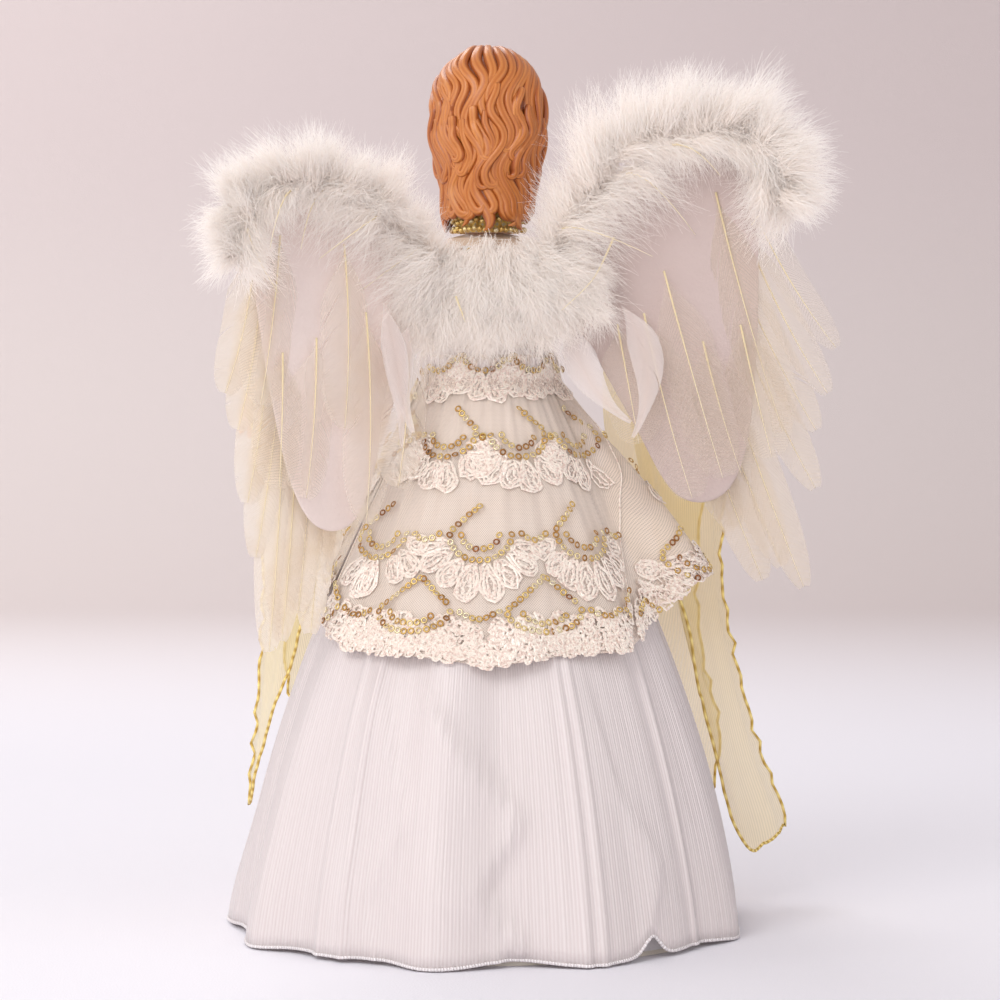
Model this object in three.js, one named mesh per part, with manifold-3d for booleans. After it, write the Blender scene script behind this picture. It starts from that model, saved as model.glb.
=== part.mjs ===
// Angel tree topper: a doll on a hollow cone that slips over the tip of a tree.
// A pleated skirt and a lace tunic hang on the cone, feathered wings turn on a yoke on the back,
// the arms lift at the shoulders inside long sleeves, and the moulded head turns on a neck post.
// Millimetres, +Z up, front towards -Y, the doll's left towards +X.
// Origin: on the cone's axis, in the plane of its base rim.
import * as THREE from 'three';
import { mergeVertices } from 'three/addons/utils/BufferGeometryUtils.js';
import Module from 'manifold-3d';

const wasm = await Module();
wasm.setup();

// Driving dimensions: gaps and sheet thicknesses
const CLEARANCE = 0.4;
const CLOTH = 0.8;

// Driving dimensions: cone
const CONE_HEIGHT = 246;
const CONE_BASE_RADIUS = 110;
const CONE_TOP_RADIUS = 27;
const CONE_WALL = 1.2;

// Driving dimensions: skirt and its lining
const LINING_HEM_HEIGHT = 2;
const SKIRT_HEM_HEIGHT = 0.6;
const SKIRT_TOP_INSET = 3;
const SKIRT_FOLD_DEPTH = 14;
const SKIRT_PUFF = 12;

// Driving dimensions: tunic, a back and a front panel
const TUNIC_RISE = 12;
const TUNIC_HEM_HEIGHT = 124;
const TUNIC_SIDE_RISE = 22;
const TUNIC_SCALLOP = 4;
const TUNIC_FOLD_DEPTH = 3;
const TUNIC_PANEL_GAP = 1.2;
const BACK_PANEL_ANGLE = 124;
const FLARE_REACH = 27;
const FLARE_WIDTH = 44;
const FLARE_DROP = 108;
const FLARE_LIFT = 13;

// Driving dimensions: torso, bodice, neck and collar
const FLANGE_THICKNESS = 2;
const PLUG_LENGTH = 12;
const TORSO_HEIGHT = 64;
const WAIST_HALF_WIDTH = 25;
const CHEST_HALF_WIDTH = 31;
const NECK_BASE_RADIUS = 11;
const TORSO_DEPTH_RATIO = 0.72;
const BODICE_NECK_GAP = 6;
const POST_RADIUS = 4;
const POST_DEPTH = 14;
const COLLAR_HEIGHT = 9;
const COLLAR_WIDTH = 6;

// Driving dimensions: head and hair
const NECK_RADIUS = 9;
const HEAD_LIFT = 46;
const HEAD_HALF_WIDTH = 20;
const HEAD_HALF_DEPTH = 22.5;
const HEAD_HALF_HEIGHT = 28;
const NOSE_HEIGHT = 3;
const HAIR_DEPTH = 52;
const HAIR_WIDTH = 53;
const HAIR_CROWN = 12;
const HAIR_FALL = 33;
const HAIR_WAVE = 0.9;

// Driving dimensions: arms, hands and sleeves
const SHOULDER_DROP = 16;
const SHOULDER_RADIUS = 7.5;
const WRIST_RADIUS = 4.5;
const ARM_REACH = 72;
const ARM_FORWARD = 42;
const ARM_FALL = 58;
const HAND_LENGTH = 24;
const FINGER_RADIUS = 1.7;
const LEFT_SLEEVE_END = 48;
const RIGHT_SLEEVE_END = 34;
const SLEEVE_SPREAD = 5;
const LEFT_SLEEVE_SWAY = -6;
const RIGHT_SLEEVE_SWAY = 28;
const SLEEVE_FOLD = 2.2;
const SLEEVE_GAP = 5;

// Driving dimensions: wings, in a flat frame of u outwards and v upwards from the hinge
const HINGE_SPACING = 32;
const HINGE_DROP = 20;
const KNUCKLE_RADIUS = 2.6;
const KNUCKLE_LENGTH = 28;
const KNUCKLE_DROP = 6;
const YOKE_THICKNESS = 4;
const YOKE_WIDTH = 44;
const WIRE_RADIUS = 1.05;
const WING_PANEL = 1.2;
const LEFT_WING_SWEEP = 37;
const RIGHT_WING_SWEEP = 4;
const LEFT_WING_RAISE = -5;
const RIGHT_WING_RAISE = 4;
const LEFT_WING_ARCH = 0.66;
const RIGHT_WING_ARCH = 0.86;
const FEATHER = 0.8;
const FLIGHT_FEATHERS = 8;
const FLIGHT_WIDTH = 26;
const COVERT_FEATHERS = 6;
const COVERT_WIDTH = 28;
const BOA_HEIGHT = 17;
const BOA_DEPTH = 10;
const BACK_FLUFF_WIDTH = 20;
const BACK_FLUFF_HEIGHT = 62;
const BACK_FLUFF_DEPTH = 31;

// Heights and places that follow from the driving dimensions
const torsoBase = CONE_HEIGHT + CLEARANCE;
const torsoTop = torsoBase + FLANGE_THICKNESS + TORSO_HEIGHT;
const headCentre = torsoTop + HEAD_LIFT;
const shoulderHeight = torsoTop - SHOULDER_DROP;
const hingeHeight = torsoTop - HINGE_DROP;
const postBore = POST_RADIUS + CLEARANCE;
const tunicTop = CONE_HEIGHT + TUNIC_RISE;

const radians = THREE.MathUtils.degToRad;
const mix = THREE.MathUtils.lerp;
const smooth = THREE.MathUtils.smoothstep;
const point = (x, y, z) => new THREE.Vector3(x, y, z);
const polar = (radius, angle, z) => point(radius * Math.cos(angle), radius * Math.sin(angle), z);
const steps = (count) => Array.from({ length: count + 1 }, (_, i) => i / count);

// Solids: joins, cuts and lofts

function toSolid(geometry) {
  const bare = geometry.clone();
  bare.deleteAttribute('normal');
  bare.deleteAttribute('uv');
  const merged = mergeVertices(bare, 1e-4);
  return new wasm.Manifold(new wasm.Mesh({
    numProp: 3,
    vertProperties: merged.attributes.position.array,
    triVerts: new Uint32Array(merged.index.array),
  }));
}

function toGeometry(solid) {
  const mesh = solid.getMesh();
  const geometry = new THREE.BufferGeometry();
  geometry.setAttribute('position', new THREE.BufferAttribute(mesh.vertProperties, mesh.numProp));
  geometry.setIndex(new THREE.BufferAttribute(mesh.triVerts, 1));
  return geometry;
}

function joined(...geometries) {
  return toGeometry(geometries.map(toSolid).reduce((sum, next) => sum.add(next)));
}

function cut(geometry, ...tools) {
  return toGeometry(tools.map(toSolid).reduce((rest, tool) => rest.subtract(tool), toSolid(geometry)));
}

// Turns a closed geometry's faces outwards, going by the sign of its volume.
function facingOut(geometry) {
  const at = geometry.attributes.position;
  const index = geometry.index.array;
  const corner = (i) => point(at.getX(i), at.getY(i), at.getZ(i));
  let volume = 0;
  for (let i = 0; i < index.length; i += 3) {
    const [a, b, c] = [index[i], index[i + 1], index[i + 2]].map(corner);
    volume += a.dot(b.cross(c));
  }
  if (volume < 0) {
    for (let i = 0; i < index.length; i += 3) {
      [index[i + 1], index[i + 2]] = [index[i + 2], index[i + 1]];
    }
  }
  return geometry;
}

// A closed solid through rings of points. An open row of rings is closed by a ladder across each end ring.
function loft(rings, aroundAxis = false) {
  const size = rings[0].length;
  const index = [];
  const spans = aroundAxis ? rings.length : rings.length - 1;
  for (let r = 0; r < spans; r++) {
    const here = r * size;
    const next = ((r + 1) % rings.length) * size;
    for (let k = 0; k < size; k++) {
      const after = (k + 1) % size;
      index.push(here + k, here + after, next + after, here + k, next + after, next + k);
    }
  }
  const ladder = (first, turned) => {
    for (let k = 0; k < size / 2 - 1; k++) {
      const [a, b, c, d] = [k, k + 1, size - 2 - k, size - 1 - k].map((i) => first + i);
      index.push(...(turned ? [a, b, c, a, c, d] : [a, c, b, a, d, c]));
    }
  };
  if (!aroundAxis) {
    ladder(0, false);
    ladder((rings.length - 1) * size, true);
  }
  const geometry = new THREE.BufferGeometry();
  const positions = rings.flat().flatMap((p) => [p.x, p.y, p.z]);
  geometry.setAttribute('position', new THREE.Float32BufferAttribute(positions, 3));
  geometry.setIndex(index);
  return facingOut(geometry);
}

// A body of revolution about Z from a closed outline of [radius, height] pairs.
function turned(outline, segments) {
  const profile = [...outline, outline[0]].map(([r, z]) => new THREE.Vector2(r, z));
  const geometry = new THREE.LatheGeometry(profile, segments).rotateX(Math.PI / 2);
  geometry.deleteAttribute('normal');
  geometry.deleteAttribute('uv');
  return facingOut(mergeVertices(geometry, 1e-4));
}

function upright(radius, low, high, sides) {
  const geometry = new THREE.CylinderGeometry(radius, radius, high - low, sides).rotateX(Math.PI / 2);
  return geometry.translate(0, 0, (low + high) / 2);
}

// Points of an oval about a centre, with two half axes given as vectors.
function oval(centre, first, second, sides) {
  return Array.from({ length: sides }, (_, k) => {
    const angle = (2 * Math.PI * (k + 0.5)) / sides;
    return centre.clone().addScaledVector(first, Math.cos(angle)).addScaledVector(second, Math.sin(angle));
  });
}

// Cone, lining and skirt: radii by height

// Horizontal gap that leaves CLEARANCE square to the sloping cone
const slope = Math.hypot(CONE_HEIGHT, CONE_BASE_RADIUS - CONE_TOP_RADIUS) / CONE_HEIGHT;
const layerGap = CLEARANCE * slope;

function coneRadius(z) {
  const share = Math.min(z / CONE_HEIGHT, 1);
  return mix(CONE_BASE_RADIUS, CONE_TOP_RADIUS, share);
}

const liningInner = (z) => coneRadius(z) + layerGap;
// The skirt stands off its lining in the middle and meets it at the waist and the hem.
const puff = (z) => SKIRT_PUFF * Math.sin(Math.PI * Math.min(z / CONE_HEIGHT, 1) ** 0.8);
const skirtFloor = (z) => liningInner(z) + CLOTH + layerGap + puff(z);

// The folds deepen from nothing at the waist to their full depth at the hem.
const foldDepth = (z) => SKIRT_FOLD_DEPTH * Math.pow(Math.max(0, 1 - z / CONE_HEIGHT), 1.2);
const foldShare = (a) => 0.5 + 0.3 * Math.cos(9 * a + 0.6) + 0.2 * Math.cos(14 * a - 1.1);
const skirtInner = (a, z) => skirtFloor(z) + foldDepth(z) * foldShare(a);
const skirtReach = (z) => skirtFloor(z) + foldDepth(z) + CLOTH;

// Tunic: it lies outside every fold of the skirt, and its front panel flares at the doll's right.

const backEdge = radians(90 + BACK_PANEL_ANGLE / 2);

// Share of the side flare at an angle: nothing at the back panel's edge, most at the side, nothing in front
function flareShare(angle) {
  const width = radians(FLARE_WIDTH);
  const turn = 2 * Math.PI;
  const around = (((angle % turn) + turn) % turn) - backEdge;
  return around <= 0 || around >= width ? 0 : Math.sin((Math.PI * around) / width) ** 2;
}

function tunicInner(angle, z) {
  const low = 1 - smooth(z, TUNIC_HEM_HEIGHT, tunicTop);
  const fold = TUNIC_FOLD_DEPTH * low * (0.5 + 0.5 * Math.cos(11 * angle));
  return skirtReach(Math.min(z, CONE_HEIGHT)) + layerGap + fold;
}

const backHem = (angle) => TUNIC_HEM_HEIGHT + TUNIC_SCALLOP * Math.abs(Math.sin(4 * angle))
  + TUNIC_SIDE_RISE * Math.cos(angle) ** 4;
const frontHem = (angle) => backHem(angle) + FLARE_LIFT * flareShare(angle);

function frontInner(angle, z) {
  const drop = 1 - smooth(z, frontHem(angle), frontHem(angle) + FLARE_DROP);
  return tunicInner(angle, z) + FLARE_REACH * flareShare(angle) * drop;
}

// How far out the dress reaches at an angle and a height
function dressReach(angle, z) {
  return z < TUNIC_HEM_HEIGHT ? skirtReach(z) : frontInner(angle, z) + CLOTH;
}

// A sheet wrapped about the axis between two angles, or right round it
function wrapped({ from, to, around, rows, inner, bottom, top }) {
  const wholeTurn = to - from >= 2 * Math.PI;
  const angles = steps(around).map((s) => mix(from, to, s));
  if (wholeTurn) angles.pop();
  const rings = angles.map((angle) => {
    const heights = steps(rows).map((s) => mix(bottom(angle), top, s));
    const outside = heights.map((z) => polar(inner(angle, z) + CLOTH, angle, z));
    const inside = heights.map((z) => polar(inner(angle, z), angle, z)).reverse();
    return [...outside, ...inside];
  });
  return loft(rings, wholeTurn);
}

const innerCone = () => turned([
  [CONE_BASE_RADIUS, 0],
  [CONE_TOP_RADIUS, CONE_HEIGHT],
  [CONE_TOP_RADIUS - CONE_WALL, CONE_HEIGHT],
  [CONE_BASE_RADIUS - CONE_WALL, 0],
], 48);

function skirtLining() {
  const top = CONE_HEIGHT - SKIRT_TOP_INSET;
  return turned([
    [liningInner(LINING_HEM_HEIGHT) + CLOTH, LINING_HEM_HEIGHT],
    [liningInner(top) + CLOTH, top],
    [liningInner(top), top],
    [liningInner(LINING_HEM_HEIGHT), LINING_HEM_HEIGHT],
  ], 48);
}

const skirt = () => wrapped({
  from: 0,
  to: 2 * Math.PI,
  around: 84,
  rows: 5,
  inner: skirtInner,
  bottom: () => SKIRT_HEM_HEIGHT,
  top: CONE_HEIGHT - SKIRT_TOP_INSET,
});

// Half the slit between the two tunic panels, as an angle at the narrow top of the tunic
const slit = TUNIC_PANEL_GAP / 2 / CONE_TOP_RADIUS;

const tunicBack = () => wrapped({
  from: Math.PI - backEdge + slit,
  to: backEdge - slit,
  around: 26,
  rows: 6,
  inner: tunicInner,
  bottom: backHem,
  top: tunicTop,
});

const tunicFront = () => wrapped({
  from: backEdge + slit,
  to: 3 * Math.PI - backEdge - slit,
  around: 40,
  rows: 6,
  inner: frontInner,
  bottom: frontHem,
  top: tunicTop,
});

// Torso, bodice, neck post and collar

const SHOULDER_SHARE = 0.62;

function torsoHalfWidth(z) {
  const share = (z - torsoBase - FLANGE_THICKNESS) / TORSO_HEIGHT;
  if (share <= SHOULDER_SHARE) {
    return mix(WAIST_HALF_WIDTH, CHEST_HALF_WIDTH, smooth(share, 0, SHOULDER_SHARE));
  }
  const rounding = Math.min((share - SHOULDER_SHARE) / (1 - SHOULDER_SHARE), 1);
  return mix(NECK_BASE_RADIUS, CHEST_HALF_WIDTH, Math.sqrt(1 - rounding ** 2));
}

// Heights up the torso, closer together where the shoulders round over
function torsoHeights(low, high) {
  const bend = torsoBase + FLANGE_THICKNESS + SHOULDER_SHARE * TORSO_HEIGHT;
  const straight = steps(4).map((s) => mix(low, bend, s));
  const round = steps(4).slice(1).map((s) => mix(bend, high, Math.sin((s * Math.PI) / 2)));
  return [...straight, ...round];
}

function torso() {
  const base = torsoBase + FLANGE_THICKNESS;
  const sides = torsoHeights(base, torsoTop).map((z) => [torsoHalfWidth(z), z]);
  const bust = turned([[0, base - FLANGE_THICKNESS / 2], [WAIST_HALF_WIDTH, base - FLANGE_THICKNESS / 2],
    ...sides, [0, torsoTop]], 20).scale(1, TORSO_DEPTH_RATIO, 1);
  const flange = upright(CONE_TOP_RADIUS, torsoBase, base, 32);
  const plug = upright(CONE_TOP_RADIUS - CONE_WALL - CLEARANCE, torsoBase - PLUG_LENGTH, base, 32);
  const bore = upright(postBore, torsoTop - POST_DEPTH, torsoTop + 1, 16);
  return cut(joined(bust, flange, plug), bore);
}

const bodiceTop = torsoTop - BODICE_NECK_GAP;
const bodiceReach = (z) => torsoHalfWidth(z) + CLEARANCE + CLOTH;

function bodice() {
  const low = torsoBase + FLANGE_THICKNESS + CLEARANCE;
  const heights = torsoHeights(low, bodiceTop);
  const outside = heights.map((z) => [bodiceReach(z), z]);
  const inside = heights.map((z) => [bodiceReach(z) - CLOTH, z]).reverse();
  const shell = turned([...outside, ...inside], 20).scale(1, TORSO_DEPTH_RATIO, 1);
  const armholes = new THREE.CylinderGeometry(SHOULDER_RADIUS + 2, SHOULDER_RADIUS + 2,
    4 * CHEST_HALF_WIDTH, 20).rotateZ(Math.PI / 2).translate(0, 0, shoulderHeight);
  return cut(shell, armholes);
}

const neckPost = () => upright(POST_RADIUS, torsoTop - POST_DEPTH + CLEARANCE, torsoTop + POST_DEPTH, 16);

// The collar stands on the shoulders round the neck.
function collar() {
  const inner = NECK_RADIUS + 4 * CLEARANCE;
  const low = torsoTop + CLEARANCE;
  return turned([
    [inner, low],
    [inner + COLLAR_WIDTH, low],
    [inner + COLLAR_WIDTH * 1.2, low + COLLAR_HEIGHT],
    [inner + COLLAR_WIDTH * 0.5, low + COLLAR_HEIGHT],
  ], 28);
}

// Head and hair

// Head and neck, grown by an extra thickness where a cutter for the hair is wanted
function headForm(extra) {
  const skull = new THREE.SphereGeometry(1, 24, 16).rotateX(Math.PI / 2);
  const at = skull.attributes.position;
  for (let i = 0; i < at.count; i++) {
    const [x, y, z] = [at.getX(i), at.getY(i), at.getZ(i)];
    const jaw = z < 0 ? 1 - 0.3 * (-z) ** 1.6 : 1;
    const nose = y < 0 ? NOSE_HEIGHT * Math.exp(-((x / 0.2) ** 2) - ((z + 0.16) / 0.2) ** 2) : 0;
    at.setXYZ(i,
      x * jaw * (HEAD_HALF_WIDTH + extra),
      y * (HEAD_HALF_DEPTH + extra) - nose,
      headCentre + z * (HEAD_HALF_HEIGHT + extra));
  }
  const neck = upright(NECK_RADIUS + extra, torsoTop + CLEARANCE - extra, headCentre, 20);
  return joined(skull, neck);
}

const head = () => cut(headForm(0), upright(postBore, torsoTop, torsoTop + POST_DEPTH + CLEARANCE, 16));

const hairTop = headCentre + HEAD_HALF_HEIGHT + HAIR_CROWN;
const hairBottom = headCentre - HAIR_FALL;

// Width of the hair as a share of its widest, from its ends up to its crown
function hairShare(h) {
  const body = mix(0.8, 1, smooth(h, 0, 0.45));
  return h < 0.55 ? body : Math.sqrt(Math.max(0, 1 - ((h - 0.55) / 0.45) ** 2.2));
}

function hair() {
  const heights = [0, 0.12, 0.24, 0.36, 0.48, 0.6, 0.7, 0.8, 0.88, 0.95, 0.99];
  const setBack = HAIR_DEPTH / 2 - HEAD_HALF_DEPTH;
  const around = 32;
  const rings = heights.map((h) => Array.from({ length: around }, (_, k) => {
    const angle = (2 * Math.PI * (k + 0.5)) / around;
    const wave = HAIR_WAVE * hairShare(h) * Math.cos(10 * angle + 2.4 * Math.sin(8 * h));
    return point(
      (hairShare(h) * HAIR_WIDTH / 2 + wave) * Math.cos(angle),
      (hairShare(h) * HAIR_DEPTH / 2 + wave) * Math.sin(angle) + setBack,
      mix(hairBottom, hairTop, h));
  }));
  const face = new THREE.SphereGeometry(1, 20, 14);
  face.scale(HEAD_HALF_WIDTH * 0.97, HEAD_HALF_DEPTH * 1.5, HEAD_HALF_HEIGHT * 0.98);
  face.translate(0, -HEAD_HALF_DEPTH * 1.35, headCentre - HEAD_HALF_HEIGHT * 0.3);
  const throat = new THREE.BoxGeometry(HEAD_HALF_WIDTH * 1.5, HAIR_DEPTH, HAIR_FALL);
  throat.translate(0, -HAIR_DEPTH / 2, headCentre - HAIR_FALL);
  return cut(loft(rings), headForm(CLEARANCE), face, throat);
}

// Arms, hands and sleeves. side is 1 on the doll's left and -1 on the right.

const shoulderX = torsoHalfWidth(shoulderHeight) + CLEARANCE + SHOULDER_RADIUS;
const shoulder = (side) => point(side * shoulderX, 0, shoulderHeight);
const wrist = (side) => shoulder(side).add(point(side * ARM_REACH, -ARM_FORWARD, -ARM_FALL));
const armLine = (side) => wrist(side).sub(shoulder(side)).normalize();
// Level, square to the arm, pointing back
const armBack = (side) => point(side * ARM_FORWARD, ARM_REACH, 0).normalize();
// How much taller a section of the sloping arm is when it is cut upright
const armSteep = Math.hypot(ARM_REACH, ARM_FORWARD, ARM_FALL) / Math.hypot(ARM_REACH, ARM_FORWARD);
const armRadius = (s) => mix(SHOULDER_RADIUS, WRIST_RADIUS, s);

function arm(side) {
  const line = armLine(side);
  const across = armBack(side);
  const upward = across.clone().cross(line);
  const sides = 10;
  const ringAt = (centre, r) => oval(centre, across.clone().multiplyScalar(r),
    upward.clone().multiplyScalar(r), sides);
  const ball = [15, 40, 65].map(radians).map((a) => ringAt(
    shoulder(side).addScaledVector(line, -SHOULDER_RADIUS * Math.cos(a)), SHOULDER_RADIUS * Math.sin(a)));
  const limb = steps(5).map((s) => ringAt(shoulder(side).lerp(wrist(side), s), armRadius(s)));
  return loft([...ball, ...limb]);
}

// An open hand along +Z with its palm towards -Y
function handForm() {
  const palmLength = HAND_LENGTH * 0.5;
  const palm = new THREE.SphereGeometry(1, 10, 6).scale(4.4 * FINGER_RADIUS, 2 * FINGER_RADIUS, palmLength * 0.62);
  palm.translate(0, 0, palmLength * 0.62);
  const digit = (across, lean, length, low) => {
    const form = new THREE.CapsuleGeometry(FINGER_RADIUS, length, 2, 6).rotateX(Math.PI / 2);
    form.translate(0, 0, length / 2).rotateY(radians(lean));
    return form.translate(across, 0, low);
  };
  const fingers = [-1.5, -0.5, 0.5, 1.5].map((place) => digit(place * 2 * FINGER_RADIUS, place * 5,
    HAND_LENGTH * (0.5 - 0.05 * place ** 2), palmLength * 0.8));
  const thumb = digit(-2.6 * FINGER_RADIUS, -42, HAND_LENGTH * 0.3, palmLength * 0.35);
  const stub = upright(WRIST_RADIUS * 0.85, 0, palmLength * 0.6, 10);
  return joined(palm, stub, ...fingers, thumb);
}

function placeHand(mesh, side) {
  const turn = new THREE.Quaternion().setFromUnitVectors(point(0, 0, 1), armLine(side));
  mesh.quaternion.copy(turn);
  mesh.position.copy(wrist(side).addScaledVector(armLine(side), CLEARANCE));
}

// A long sleeve: a sheet over the arm whose two sides hang down, longest at the wrist
function sleeve(side, sway, end) {
  const back = armBack(side);
  const out = point(side * ARM_REACH, -ARM_FORWARD, 0).normalize();
  const legRows = 5;
  const section = (s) => {
    const centre = shoulder(side).lerp(wrist(side), s);
    const inner = armRadius(s) + CLEARANCE;
    const away = (sign, radius, row) => {
      const ripple = SLEEVE_FOLD * row * (1 + Math.sin(16 * s + sign));
      const spread = radius + SLEEVE_SPREAD * row + ripple;
      return centre.clone().addScaledVector(back, sign * spread).addScaledVector(out, sway * s * row ** 2);
    };
    const clears = (sign, low) => steps(12).every((row) => {
      const place = away(sign, inner, row);
      const reach = dressReach(Math.atan2(place.y, place.x), mix(centre.z, low, row));
      return reach < Math.hypot(place.x, place.y) - SLEEVE_GAP;
    });
    // Each side hangs as low as it can without lying on the dress.
    const lowest = (sign) => {
      let low = centre.z - inner;
      while (low > end && clears(sign, low - 2)) low -= 2;
      return low;
    };
    const feet = { [-1]: lowest(-1), 1: lowest(1) };
    const leg = (sign, radius, row) => away(sign, radius, row).setZ(mix(centre.z, feet[sign], row));
    const path = (radius) => {
      const rows = steps(legRows);
      const arch = [150, 120, 90, 60, 30].map(radians).map((a) => centre.clone()
        .addScaledVector(back, radius * Math.cos(a)).add(point(0, 0, armSteep * radius * Math.sin(a))));
      return [
        ...rows.slice().reverse().map((row) => leg(-1, radius, row)),
        ...arch,
        ...rows.map((row) => leg(1, radius, row)),
      ];
    };
    return [...path(inner + CLOTH), ...path(inner).reverse()];
  };
  return loft(steps(9).map((s) => section(mix(0.3, 0.98, s))));
}

// Wings. The flat frame of a wing: u outwards, v upwards, w backwards, all from its hinge.

const wingPoint = (side, u, v, w) => point(side * u, w, v);
const LEADING_EDGE = [[8, 6], [36, 38], [68, 57], [96, 50], [105, 22]];
const TRAILING_EDGE = [[101, -35], [93, -82], [80, -103], [60, -100], [42, -64], [22, -24], [8, -12]];
const FLIGHT_ROOTS = [[101, 32], [90, 0], [72, -14], [52, -12]];
const FLIGHT_TIPS = {
  left: [[121, -42], [116, -58], [113, -90], [110, -114], [100, -152], [90, -140], [84, -151], [71, -121]],
  right: [[136, -42], [131, -62], [125, -78], [123, -104], [115, -148], [106, -138], [97, -144], [86, -120]],
};
const COVERT_ROOTS = {
  left: [[90, 36], [94, -26], [77, -21], [60, 27], [52, -12], [31, -26]],
  right: [[87, 36], [94, -28], [77, -34], [62, -2], [52, -20], [40, -24]],
};
const COVERT_TIPS = {
  left: [[108, -48], [103, -84], [89, -90], [68, -62], [62, -104], [45, -90]],
  right: [[110, -78], [104, -88], [90, -94], [82, -96], [68, -104], [46, -78]],
};
const BOA_LINE = [[9, 4], [36, 50], [68, 70], [104, 67], [122, 47]];

const flatCurve = (points) => new THREE.SplineCurve(points.map(([u, v]) => new THREE.Vector2(u, v)));
const featherPitch = FEATHER + CLEARANCE;

// How high a wing arches: what lies above its hinge is raised or lowered in this share
const arched = (points, arch) => points.map(([u, v]) => [u, v > 0 ? v * arch : v]);
const leadingEdge = (arch) => flatCurve(arched(LEADING_EDGE, arch));
const EDGE_STEPS = 10;

function wingPanel(side, arch) {
  const trailing = flatCurve(arched([LEADING_EDGE.at(-1), ...TRAILING_EDGE], arch));
  const outline = [...leadingEdge(arch).getPoints(EDGE_STEPS), ...trailing.getPoints(18).slice(1)];
  const shape = new THREE.Shape(outline.map((p) => new THREE.Vector2(side * p.x, p.y)));
  const panel = new THREE.ExtrudeGeometry(shape, { depth: WING_PANEL, bevelEnabled: false });
  return panel.rotateX(Math.PI / 2).translate(0, WING_PANEL / 2, 0);
}

// The frame wire stands in its knuckle, bends out and follows the panel's leading edge.
function wingWire(side, raise, arch) {
  const gap = WIRE_RADIUS + 1.5 * CLEARANCE;
  const lean = radians(raise);
  const edge = leadingEdge(arch);
  const along = steps(EDGE_STEPS).map((s) => {
    const place = edge.getPoint(s);
    const tangent = edge.getTangent(s);
    const [u, v] = [place.x - tangent.y * gap, place.y + tangent.x * gap];
    return wingPoint(side, u * Math.cos(lean) - v * Math.sin(lean), u * Math.sin(lean) + v * Math.cos(lean), 0);
  });
  const leg = [-KNUCKLE_LENGTH / 2, -KNUCKLE_LENGTH / 4, 0].map((v) => wingPoint(side, 0, v - KNUCKLE_DROP, 0));
  const route = new THREE.CatmullRomCurve3([...leg, ...along], false, 'centripetal');
  const round = new THREE.Shape().absarc(0, 0, WIRE_RADIUS, 0, 2 * Math.PI);
  return new THREE.ExtrudeGeometry(round, { steps: 30, curveSegments: 4, extrudePath: route, bevelEnabled: false });
}

// Half width along a feather as a share: a bare quill, a full vane and a rounded tip
function vaneShare(t) {
  const opening = mix(0.14, 1, smooth(t, 0, 0.4));
  const closing = Math.sqrt(Math.max(0.02, 1 - Math.max(0, (t - 0.72) / 0.28) ** 2.4));
  return opening * closing;
}

// One feather from root to tip, bowed outwards, thickest along its shaft
function feather(side, root, tip, width, bow, w) {
  const middle = root.clone().lerp(tip, 0.5);
  const across = new THREE.Vector2(root.y - tip.y, tip.x - root.x).normalize();
  const shaft = new THREE.QuadraticBezierCurve(root, middle.addScaledVector(across, bow), tip);
  const rings = [0, 0.15, 0.3, 0.5, 0.7, 0.85, 0.95, 1].map((t) => {
    const place = shaft.getPoint(t);
    const normal = shaft.getTangent(t).rotateAround(new THREE.Vector2(), Math.PI / 2);
    const half = (width / 2) * vaneShare(t);
    const edge = (sign) => wingPoint(side, place.x + sign * half * normal.x, place.y + sign * half * normal.y, w);
    const face = (sign) => wingPoint(side, place.x, place.y, w + (sign * FEATHER) / 2);
    return [edge(-1), face(1), edge(1), face(-1)];
  });
  return loft(rings);
}

// The marabou along the wing's top: widest at the back of the shoulders, tapering at both ends
function boa(side, arch) {
  const line = flatCurve(arched(BOA_LINE, arch));
  const rings = steps(10).map((s) => {
    const place = line.getPoint(s);
    const tangent = line.getTangent(s);
    const ends = Math.sqrt(Math.min(1, 0.12 + 4 * s, 0.15 + 5 * (1 - s)));
    const height = BOA_HEIGHT * ends * mix(1.5, 1.25, smooth(s, 0.05, 0.4));
    const depth = BOA_DEPTH * ends;
    const centre = wingPoint(side, place.x, place.y, WIRE_RADIUS + CLEARANCE + depth);
    const upward = wingPoint(side, -tangent.y * height, tangent.x * height, 0);
    return oval(centre, upward, point(0, depth, 0), 10);
  });
  return loft(rings);
}

// Yoke: a plate on the back of the bodice with a knuckle for each wing's wire

const yokeFront = (CHEST_HALF_WIDTH + CLEARANCE + CLOTH) * TORSO_DEPTH_RATIO + CLEARANCE;
const yokeBack = yokeFront + YOKE_THICKNESS;
const hingeY = yokeBack + KNUCKLE_RADIUS - 0.6;
const knuckleHigh = hingeHeight - KNUCKLE_DROP;
const knuckleLow = knuckleHigh - KNUCKLE_LENGTH / 2 + 2 * CLEARANCE;

function wingYoke() {
  const height = KNUCKLE_LENGTH;
  const plate = new THREE.BoxGeometry(YOKE_WIDTH, YOKE_THICKNESS, height);
  plate.translate(0, (yokeFront + yokeBack) / 2, knuckleHigh - height / 2 + KNUCKLE_DROP);
  const places = [-HINGE_SPACING / 2, HINGE_SPACING / 2];
  const knuckles = places.map((x) => upright(KNUCKLE_RADIUS, knuckleLow, knuckleHigh, 16).translate(x, hingeY, 0));
  const bores = places.map((x) => upright(WIRE_RADIUS + CLEARANCE, knuckleLow - height, knuckleHigh + 1, 12)
    .translate(x, hingeY, 0));
  return cut(joined(plate, ...knuckles), ...bores);
}

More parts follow.
